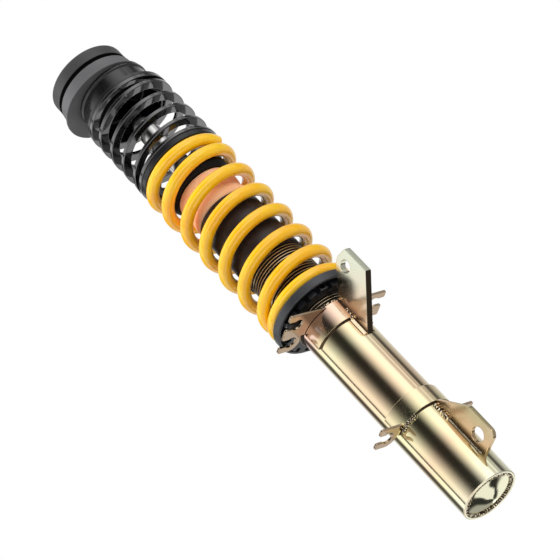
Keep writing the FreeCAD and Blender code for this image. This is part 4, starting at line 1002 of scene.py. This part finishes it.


# Each row is how far out and to the side a line of painted shade lies, and its lower and upper end
SHADE_LINES = [(26.6, 6.9, 180.2, 200.8), (28.6, 3.5, 180.2, 200.8),
                  (27.2, 3.8, 23.0, 69.0), (28.5, 2.2, 23.0, 88.0)]
shade_runs = [bead_parts(level_arc(LOWER_LOW - 0.7, 28.1, 200, BEAD_FROM, 40.0), 1.1, 2.6, 0.2)]
bright = []
for side in (-1, 1):
    on_band = upright(29.9, side * 3.7, 202.0, 223.0, 120)
    shade_runs.append(bead_parts(on_band, 0.9, 3.1, 0.3))
    bright.append(bead_parts(on_band[6:60], 1.1, 4.6, 0.9))
    for out, sideways, low, high in SHADE_LINES:
        shade_runs.append(bead_parts(upright(out, side * sideways, low, high, 100), 0.42, 3.0, 0.4))
    bright.append(bead_parts(upright(28.3, side * 4.4, 199.6, 202.2, 12), 1.9, 5.0, 0.2))
    bright.append(bead_parts(upright(27.9, side * 3.3, 67.0, 87.5, 80), 1.7, 2.9, 0.4))
bright.append(bead_parts(level_arc(UPPER_HIGH + 0.8, 29.3, 140, -78.0, 70.0), 1.2, 3.7, 0.5))
piece_of("painted_shade_runs", shade_runs, "housing", "zinc_painted_shade")
piece_of("speckled_runs", bright, "housing", "zinc_speckled")
print("scorched runs", len(shade_runs), "bright runs", len(bright))

# %% [markdown]
# The collar's thread is a real helix here: every row of the mesh follows the thread round, so
# no ridge is cut into steps, and the last column of points meets the first one turn higher. It
# climbs 3 mm a turn and is right-handed, so the nut goes up when it is turned anticlockwise,
# seen from above.

# %% The thread
THREAD_HIGH, THREAD_PITCH, THREAD_RUN_OUT = 375.0, 3.0, 1.5
CREST_R, ROOT_R = 28.9, 27.65
# One turn's outline: how far up the turn, and how far out between root and crest
THREAD_OUTLINE = [(0.0, 0.0), (0.10, 0.0), (0.15, 0.06), (0.37, 0.93), (0.42, 1.0),
                  (0.58, 1.0), (0.63, 0.93), (0.85, 0.06), (0.90, 0.0)]
THREAD_STEPS = 144
THREAD_TURNS = math.ceil((THREAD_HIGH - TUBE_HIGH) / THREAD_PITCH)
points = []
for i in range(THREAD_STEPS + 1):
    angle = 2 * math.pi * i / THREAD_STEPS
    column = [(TUBE_IN, TUBE_HIGH)]
    for turn_number in range(-1, THREAD_TURNS + 1):
        for up, out in THREAD_OUTLINE:
            z = TUBE_HIGH + THREAD_PITCH * (turn_number + up + i / THREAD_STEPS)
            z = min(THREAD_HIGH, max(TUBE_HIGH, z))
            out *= min(1.0, (z - TUBE_HIGH) / THREAD_RUN_OUT, (THREAD_HIGH - z) / THREAD_RUN_OUT)
            column.append((ROOT_R + (CREST_R - ROOT_R) * out, z))
    column.append((TUBE_IN, THREAD_HIGH))
    points.extend((radius * math.cos(angle), radius * math.sin(angle), z) for radius, z in column)
thread_skin = skin_faces(THREAD_STEPS + 1, len(column), closed=False, capped=False)
piece_of("threaded_tube_skin", [(points, thread_skin)], "housing", "zinc_thread",
         ["threaded_tube"])
print("thread rows", len(column))

# %% [markdown]
# The adjuster nut carries the lower spring seat. A hook spanner reaches into its slots from
# outside. Only its lower half is slotted, so it is made in two: a castle cut from thick sheet,
# and a turned ring on top.

# %% The nut's slots
NUT_R, NUT_BORE, NUT_LOW, NUT_HIGH = 39.5, 28.95, 232.5, 243.0
SLOT_COUNT, SLOT_WIDTH, NOTCH_DEPTH, SLOT_HEIGHT = 20, 4.4, 4.5, 6.5
SCREW_ANGLE, SCREW_Z = -93.0, 236.3


def out_and_round(angle):
    """The ways out from the strut's axis and round it, at an angle in radians."""
    return (Vector((math.cos(angle), math.sin(angle), 0)),
            Vector((-math.sin(angle), math.cos(angle), 0)))


def castle_outline():
    """The nut's lower half seen from above: round, with a notch for each spanner slot."""
    path = []
    half_angle = math.degrees(math.asin(SLOT_WIDTH / 2 / NUT_R))
    wall = math.sqrt(NUT_R ** 2 - (SLOT_WIDTH / 2) ** 2)
    floor = NUT_R - NOTCH_DEPTH
    for index in range(SLOT_COUNT):
        middle = SCREW_ANGLE + 360.0 * (index + 0.5) / SLOT_COUNT
        out, along = out_and_round(math.radians(middle))
        for reach, sideways, radius in ((wall, -1, 0.7), (floor, -1, 0.8), (floor, 1, 0.8),
                                        (wall, 1, 0.7)):
            spot = out * reach + along * sideways * SLOT_WIDTH / 2
            path.append((spot.x, spot.y, radius))
        land = 360.0 / SLOT_COUNT - 2 * half_angle
        for x, y in circle(0, 0, NUT_R, 8, middle + half_angle, land)[1:-1]:
            path.append((x, y, 0.0))
    return rounded(path)


print("castle points", len(castle_outline()))

# %% [markdown]
# Two holes go through the nut's wall: one for the small screw that locks it, and a spare one. A
# Boolean modifier cuts them, which is what a drill does. The same helper serves for the rod.

# %% Drilling
HOLE_STEPS = 32


def pin(angle, inner, outer, radius, height):
    """A bar that lies level and points outwards, at an angle in degrees about the strut."""
    out, along = out_and_round(math.radians(angle))
    points = []
    for reach in (inner, outer):
        for a, b in circle(0, 0, radius, HOLE_STEPS):
            points.append(out * reach + along * a + Vector((0, 0, height + b)))
    return points, skin_faces(2, HOLE_STEPS, closed=False)


def drilled(name, mesh, *bars):
    """A mesh with bars cut out of it."""
    stock = bpy.data.objects.new(name + "_stock", mesh)
    tool = bpy.data.objects.new(name + "_tool", mesh_from(name + "_tool", *joined(*bars)))
    boring = stock.modifiers.new("boring", "BOOLEAN")
    boring.operation, boring.solver, boring.object = "DIFFERENCE", "EXACT", tool
    boring.use_self = True
    for used in (stock, tool):
        scene.collection.objects.link(used)
    bpy.context.view_layer.update()
    seen_by = bpy.context.evaluated_depsgraph_get()
    result = bpy.data.meshes.new_from_object(stock.evaluated_get(seen_by))
    for used in (stock, tool):
        bpy.data.objects.remove(used)
    return result


print("a pin has", len(pin(0.0, 0.0, 1.0, 1.0, 0.0)[0]), "points")

# %% The adjuster nut
CASTLE_OVERLAP = 0.2
SCREW_HOLE_R, SPARE_HOLE_R = 2.25, 2.6
SPARE_HOLE_ANGLE = SCREW_ANGLE + 4 * 360.0 / SLOT_COUNT
castle_high = NUT_LOW + SLOT_HEIGHT
castle = cut_sheet([castle_outline(), circle(0, 0, NUT_BORE, 96)[::-1]],
                   SLOT_HEIGHT + CASTLE_OVERLAP, 0.35, NUT_LOW)
collar_corners = ring_corners(NUT_BORE, NUT_R, castle_high, NUT_HIGH, 0.1, 0.1, 0.4, 0.4)
collar = lathe_parts(rounded(collar_corners), 120)
holes = [pin(angle, NUT_BORE - 2, NUT_R + 2, radius, SCREW_Z)
         for angle, radius in ((SPARE_HOLE_ANGLE, SPARE_HOLE_R), (SCREW_ANGLE, SCREW_HOLE_R))]
nut_mesh = drilled("adjuster_nut", mesh_from("adjuster_nut", *joined(castle, collar)), *holes)
settle("adjuster_nut_skin", nut_mesh, "adjuster", "nut_anthracite", ["adjuster_nut"])
print("nut faces", len(nut_mesh.polygons))

# %% [markdown]
# The lower seat lies on the nut. It has a thin web, a hanging rim that makes it stiff, a lip
# that centres the spring, and short ribs inside the rim, each made like a piece cut from sheet.

# %% The lower spring seat
SEAT_R, SEAT_IN, SEAT_LOW, SEAT_TOP = 45.2, 30.45, 236.8, 245.3
RIM_IN, WEB_LOW, SEAT_LIP = SEAT_R - 2.6, 242.9, 249.3
turned("lower_spring_seat_skin", [
    (SEAT_IN, NUT_HIGH + 0.02, 0.2), (39.8, NUT_HIGH + 0.02, 0.2), (39.8, WEB_LOW, 0.2),
    (RIM_IN, WEB_LOW, 0.8), (RIM_IN, SEAT_LOW, 0.5), (SEAT_R, SEAT_LOW, 0.9),
    (SEAT_R, SEAT_TOP, 1.0), (32.6, SEAT_TOP, 0.8), (31.8, SEAT_LIP, 0.8),
    (SEAT_IN, SEAT_LIP, 0.4)], "lower_seat", "anthracite", ["lower_spring_seat"])

RIB_COUNT, RIB_HALF, RIB_IN, RIB_OUT, RIB_LOW, RIB_TALL = 18, 0.9, 40.0, 42.5, 239.2, 3.75
ribs = []
for index in range(RIB_COUNT):
    out, along = out_and_round(math.radians(SCREW_ANGLE + 360.0 * (index + 0.5) / RIB_COUNT))
    spots = [out * reach + along * sideways for reach, sideways in (
        (RIB_IN, -RIB_HALF), (RIB_OUT, -RIB_HALF), (RIB_OUT, RIB_HALF), (RIB_IN, RIB_HALF))]
    ribs.append(cut_sheet([[(spot.x, spot.y) for spot in spots]], RIB_TALL, 0.3, RIB_LOW))
piece_of("seat_rib_set", ribs, "lower_seat", "anthracite", ["seat_ribs"])
print("ribs", len(ribs))

# %% [markdown]
# A spring's wire follows a helix that lies flat for most of a turn at each end, where it
# stands on its seat, and climbs steadily between. A curve with a bevel could twist a flat wire
# as it climbs. So the wire is built ring by ring, and its width always points out from the axis.

# %% The springs' shape
SPRING_FRONT = math.radians(-48.0)
COIL_R, WIRE_STEPS = 39.2, 96
KNEE, SLOPE_STEP = 0.08, 0.002


def wire_height(turn, foot, pitch, climb_from, climb_to):
    """Height of the wire's centre after so many turns: level, climbing, level."""
    def ramp(t):
        if abs(t) < KNEE:
            return (t + KNEE) ** 2 / (4 * KNEE)
        return max(t, 0.0)
    return foot + pitch * (ramp(turn - climb_from) - ramp(turn - climb_to))


def coil_parts(foot, head, pitch, climb_from, first, last, section):
    """A wire wound to a helix. The section is (outwards, upwards) points, in millimetres."""
    climb = (foot, pitch, climb_from, climb_from + (head - foot) / pitch)
    count = int((last - first) * WIRE_STEPS)
    points = []
    for i in range(count + 1):
        turn = first + (last - first) * i / count
        rise = (wire_height(turn + SLOPE_STEP, *climb)
                - wire_height(turn - SLOPE_STEP, *climb)) / (2 * SLOPE_STEP)
        out, along = out_and_round(SPRING_FRONT + 2 * math.pi * turn)
        along.z = rise / (2 * math.pi * COIL_R)
        up = out.cross(along.normalized())
        centre = out * COIL_R + Vector((0, 0, wire_height(turn, *climb)))
        points.extend(centre + out * a + up * b for a, b in section)
    return points, skin_faces(count + 1, len(section), closed=False)


print("half way up", wire_height(1.0, 0.0, 10.0, 0.5, 1.5))

# %% [markdown]
# The main spring's wire is round. The helper spring only keeps the main one tight when the wheel
# hangs free, so its wire is flat, and its turns can lie on each other like a stack of washers.

# %% The main spring and the helper spring
WIRE_R, FLAT_HALF, FLAT_WIDE_HALF, WIRE_GAP = 6.0, 1.9, 4.5, 0.2
MAIN_HIGH, HELPER_LOW, HELPER_HIGH = 444.2, 450.2, 534.5
main_wire = coil_parts(SEAT_TOP + WIRE_R + WIRE_GAP, MAIN_HIGH - WIRE_R - WIRE_GAP, 29.3, 0.29,
                       -0.25, 7.22, circle(0, 0, WIRE_R, 36))
main_spring = piece_of("main_spring_coil", [main_wire], "lower_seat", "yellow_powder",
                       ["main_spring"])

flat_section = rounded([(x * FLAT_WIDE_HALF, y * FLAT_HALF, 0.7)
                        for x, y in ((-1, -1), (1, -1), (1, 1), (-1, 1))])
flat_wire = coil_parts(HELPER_LOW + FLAT_HALF + WIRE_GAP, HELPER_HIGH - FLAT_HALF - WIRE_GAP,
                       18.55, 0.315, -0.44, 5.38, flat_section)
helper_spring = piece_of("helper_spring_coil", [flat_wire], "rod", "black_powder",
                         ["helper_spring"])
print("spring points", len(main_wire[0]), len(flat_wire[0]))

# %% [markdown]
# Between the springs lies a ring whose two lips centre them. Above, the upper seat hangs on the
# rod. Both are round, so both are turned, and the seat keeps its small collar and stepped rim.

# %% The ring between the springs and the upper seat
RING_IN, RING_R, LIP = 28.0, 43.2, 4.0
turned("adapter_ring_skin", [
    (RING_IN, MAIN_HIGH - LIP, 0.4), (31.8, MAIN_HIGH - LIP, 0.8), (32.6, MAIN_HIGH, 0.2),
    (RING_R, MAIN_HIGH, 1.0), (RING_R, HELPER_LOW, 1.0), (34.1, HELPER_LOW, 0.3),
    (33.3, HELPER_LOW + LIP, 0.8), (RING_IN, HELPER_LOW + LIP, 0.4)],
    "spring_ring", "nut_anthracite", ["adapter_ring"])

STEM_BORE, SHOULDER_HIGH, NECK_R, NECK_HIGH = 7.05, 552.0, 36.0, 560.0
turned("upper_spring_seat_skin", [
    (STEM_BORE, SHOULDER_HIGH, 0.3), (29.0, SHOULDER_HIGH, 3.0), (31.1, 538.5, 1.0),
    (31.1, 526.5, 0.4), (33.3, 526.5, 0.6), (34.1, HELPER_HIGH, 0.3), (43.4, HELPER_HIGH, 0.5),
    (43.4, 536.0, 0.3), (42.9, 536.3, 0.2), (42.9, 538.3, 0.7), (NECK_R, 539.5, 1.6),
    (NECK_R, 555.6, 0.6), (37.4, 557.0, 0.9), (37.4, 559.0, 0.6), (NECK_R, NECK_HIGH, 0.2),
    (STEM_BORE, NECK_HIGH, 0.3)],
    "rod", "seat_plastic", ["upper_spring_seat"])
print("ring between the springs", HELPER_LOW - MAIN_HIGH, "mm thick")

# %% [markdown]
# The strut bearing stands on the upper seat, a little to one side of the rod. Its flange, two
# shells and seal are all round about that axis, so each is turned about it.

# %% The strut bearing
BEARING = circle(0, 0, 8.0, 1, 222.0)[0]
BEARING_IN, FLANGE_R, SHELL_R, LID_R = 25.0, 44.6, 40.5, 39.4
FLANGE_HIGH, SHELL_HIGH, STRUT_HIGH = 563.2, 575.5, 593.6
turned("bearing_flange_skin", [
    (BEARING_IN, NECK_HIGH, 0.2), (FLANGE_R, NECK_HIGH, 0.5), (FLANGE_R, 561.6, 0.5),
    (SHELL_R, FLANGE_HIGH, 0.3), (BEARING_IN, FLANGE_HIGH, 0.2)],
    "rod", "grey_plastic", ["bearing_flange"], BEARING)
turned("bearing_lower_shell_skin",
       ring_corners(BEARING_IN, SHELL_R, FLANGE_HIGH, SHELL_HIGH, 0.2, 0.2, 0.9, 0.4),
       "rod", "grey_plastic", ["bearing_lower_shell"], BEARING)
turned("bearing_seal_skin", [
    (36.8, SHELL_HIGH, 0.2), (39.8, SHELL_HIGH, 0.2), (39.2, 577.8, 1.0), (39.8, 580.2, 0.2),
    (36.8, 580.2, 0.2)], "rod", "seal_rubber", ["bearing_seal"], BEARING)
turned("bearing_upper_shell_skin", [
    (BEARING_IN, 580.5, 0.4), (LID_R, 580.5, 0.7), (LID_R, STRUT_HIGH, 2.0),
    (28.0, STRUT_HIGH, 0.6), (BEARING_IN, 590.6, 0.6)],
    "bearing_top", "dark_plastic", ["bearing_upper_shell"], BEARING)
print("bearing beside the rod", [round(x, 2) for x in BEARING])

# %% [markdown]
# The rod, its nut and washer can be seen between the turns and from above. The rod is ground,
# chromed bar with a thinner stem at each end. A hexagon key goes into its upper end and holds
# it while the nut is tightened, and the socket is cut with the drilling helper.

# %% The rod and its washer
ROD_R, STEM_R, STEM_END_R, KEY_R = 11.0, 7.0, 6.0, 3.5
rod = lathe_parts(rounded([
    (0.0, 278.0, 0.0), (STEM_END_R, 278.0, 0.3), (STEM_R, 279.0, 0.3), (STEM_R, 302.0, 0.2),
    (ROD_R, 302.0, 0.8), (ROD_R, SHOULDER_HIGH, 0.6), (STEM_R, SHOULDER_HIGH, 0.2),
    (STEM_R, 581.0, 0.2), (STEM_END_R, 582.0, 0.3), (0.0, 582.0, 0.0)]), 128)
key = [(x, y, z) for z in (576.0, 584.0) for x, y in circle(0, 0, KEY_R, 6)]
rod_mesh = drilled("piston_rod", mesh_from("piston_rod", *rod),
                   (key, skin_faces(2, 6, closed=False)))
settle("piston_rod_skin", rod_mesh, "rod", "hard_chrome", ["piston_rod"])
print("rod faces", len(rod_mesh.polygons))

WASHER_HIGH = 562.5
turned("top_washer_skin",
       ring_corners(STEM_BORE, 14.0, NECK_HIGH, WASHER_HIGH, 0.2, 0.4, 0.4, 0.2),
       "rod", "zinc_sheet", ["top_washer"], steps=96)

# %% [markdown]
# The nut is a turned hexagon: a cone cuts its corners back, which leaves the curved edge that
# every forged nut has. So the radius follows the hexagon, and each corner's height the cone.

# %% The rod's nut
CHAMFER, CORNER_ROUND, NUT_STEPS = 0.6, 0.3, 144


def hexagon_nut(low, high, corner_r, bore_r):
    """A hexagon nut whose top and bottom corners are cut back by a cone."""
    points = []
    flat_r = corner_r * math.cos(math.radians(30))
    for i in range(NUT_STEPS):
        angle = 2 * math.pi * i / NUT_STEPS
        in_sector = (math.degrees(angle) + 30.0) % 60.0 - 30.0
        side_r = flat_r / math.cos(math.radians(30.0 - abs(in_sector)))
        drop = max(0.0, side_r - flat_r * 1.02) * math.tan(math.radians(30)) + 0.2
        face_r = flat_r - CORNER_ROUND
        for radius, z in ((bore_r, low + CHAMFER), (bore_r + CHAMFER, low), (face_r, low),
                          (side_r, low + drop), (side_r, high - drop), (face_r, high),
                          (bore_r + CHAMFER, high), (bore_r, high - CHAMFER)):
            points.append((radius * math.cos(angle), radius * math.sin(angle), z))
    return points, skin_faces(NUT_STEPS, 8, closed=True)


top_nut = piece_of("top_nut_skin", [hexagon_nut(WASHER_HIGH, 573.5, 11.0, STEM_BORE)], "rod",
                   "zinc_sheet", ["top_nut"])
print("top nut faces", len(top_nut.data.polygons))

# %% [markdown]
# The dust cap hides the top of the thread. The bump stop stands on it, a soft spring of foamed
# rubber with a groove where it folds, and a black cup sits on its head. Each half of the stop
# bulges like the root of a sine, which is full in the middle and needs no rounded corners.

# %% The dust cap
CAP_IN, CAP_R, ROD_CLEAR = 28.95, 30.3, 11.3
turned("dust_cap_skin", [
    (CAP_IN, 301.8, 0.3), (CAP_R, 301.8, 0.5), (CAP_R, 377.4, 2.2), (ROD_CLEAR, 377.4, 0.3),
    (ROD_CLEAR, 375.6, 0.3), (CAP_IN, 375.6, 0.3)], "housing", "black_plastic", ["dust_cap"])
print("dust cap wall", round(CAP_R - CAP_IN, 2))

# %% The bump stop and its cup
STOP_LOW, WAIST, STOP_HIGH = 377.7, 391.1, 412.7
STOP_R, WAIST_R, STOP_IN = 29.4, 26.8, 11.05


def bulge(low, high, steps):
    """A rounded bulge between two heights, fullest at its middle."""
    path = []
    for k in range(1, steps):
        share = k / steps
        swell = math.sin(math.pi * share) ** 0.5
        path.append((WAIST_R + (STOP_R - WAIST_R) * swell, low + (high - low) * share))
    return path


stop = [(STOP_IN, STOP_LOW), (WAIST_R - 2.0, STOP_LOW)]
stop += bulge(STOP_LOW, WAIST, 24) + [(WAIST_R, WAIST)] + bulge(WAIST, STOP_HIGH, 28)
stop += [(WAIST_R - 2.0, STOP_HIGH), (STOP_IN, STOP_HIGH)]
piece_of("bump_stop_skin", [lathe_parts(stop, 144)], "bump", "peach_foam", ["bump_stop"])
turned("stop_cup_skin", [
    (ROD_CLEAR, STOP_HIGH, 0.2), (STOP_R, STOP_HIGH, 0.6), (32.6, 417.7, 1.5), (32.6, 422.7, 0.6),
    (30.6, 422.7, 0.5), (30.6, 418.7, 1.0), (28.4, 415.7, 0.6), (ROD_CLEAR, 415.7, 0.3)],
    "bump", "cup_plastic", ["stop_cup"])
print("bump stop outline", len(stop))

# %% [markdown]
# What lies inside is right as the CAD made it, and only shows when the strut is taken apart.
# It gets its finish and nothing else.

# %% Finishes for the parts that stay as they are
KEPT = {"bright_steel": ["locking_screw", "piston_nut", "base_valve", "pressure_tube",
                         "gland_nut"],
        "aluminium": ["piston", "rod_guide"], "black_rubber": ["rod_seal"],
        "hard_chrome": ["bearing_balls"], "black_plastic": ["ball_cage"]}
for finish_name, kept in KEPT.items():
    for node in kept:
        mesh = nodes[node].data
        mesh.materials.clear()
        mesh.materials.append(finishes[finish_name].material)
    print(finish_name, "on", kept)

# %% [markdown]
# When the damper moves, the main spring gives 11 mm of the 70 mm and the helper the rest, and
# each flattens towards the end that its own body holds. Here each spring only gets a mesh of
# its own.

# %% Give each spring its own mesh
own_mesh(main_spring)
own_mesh(helper_spring)
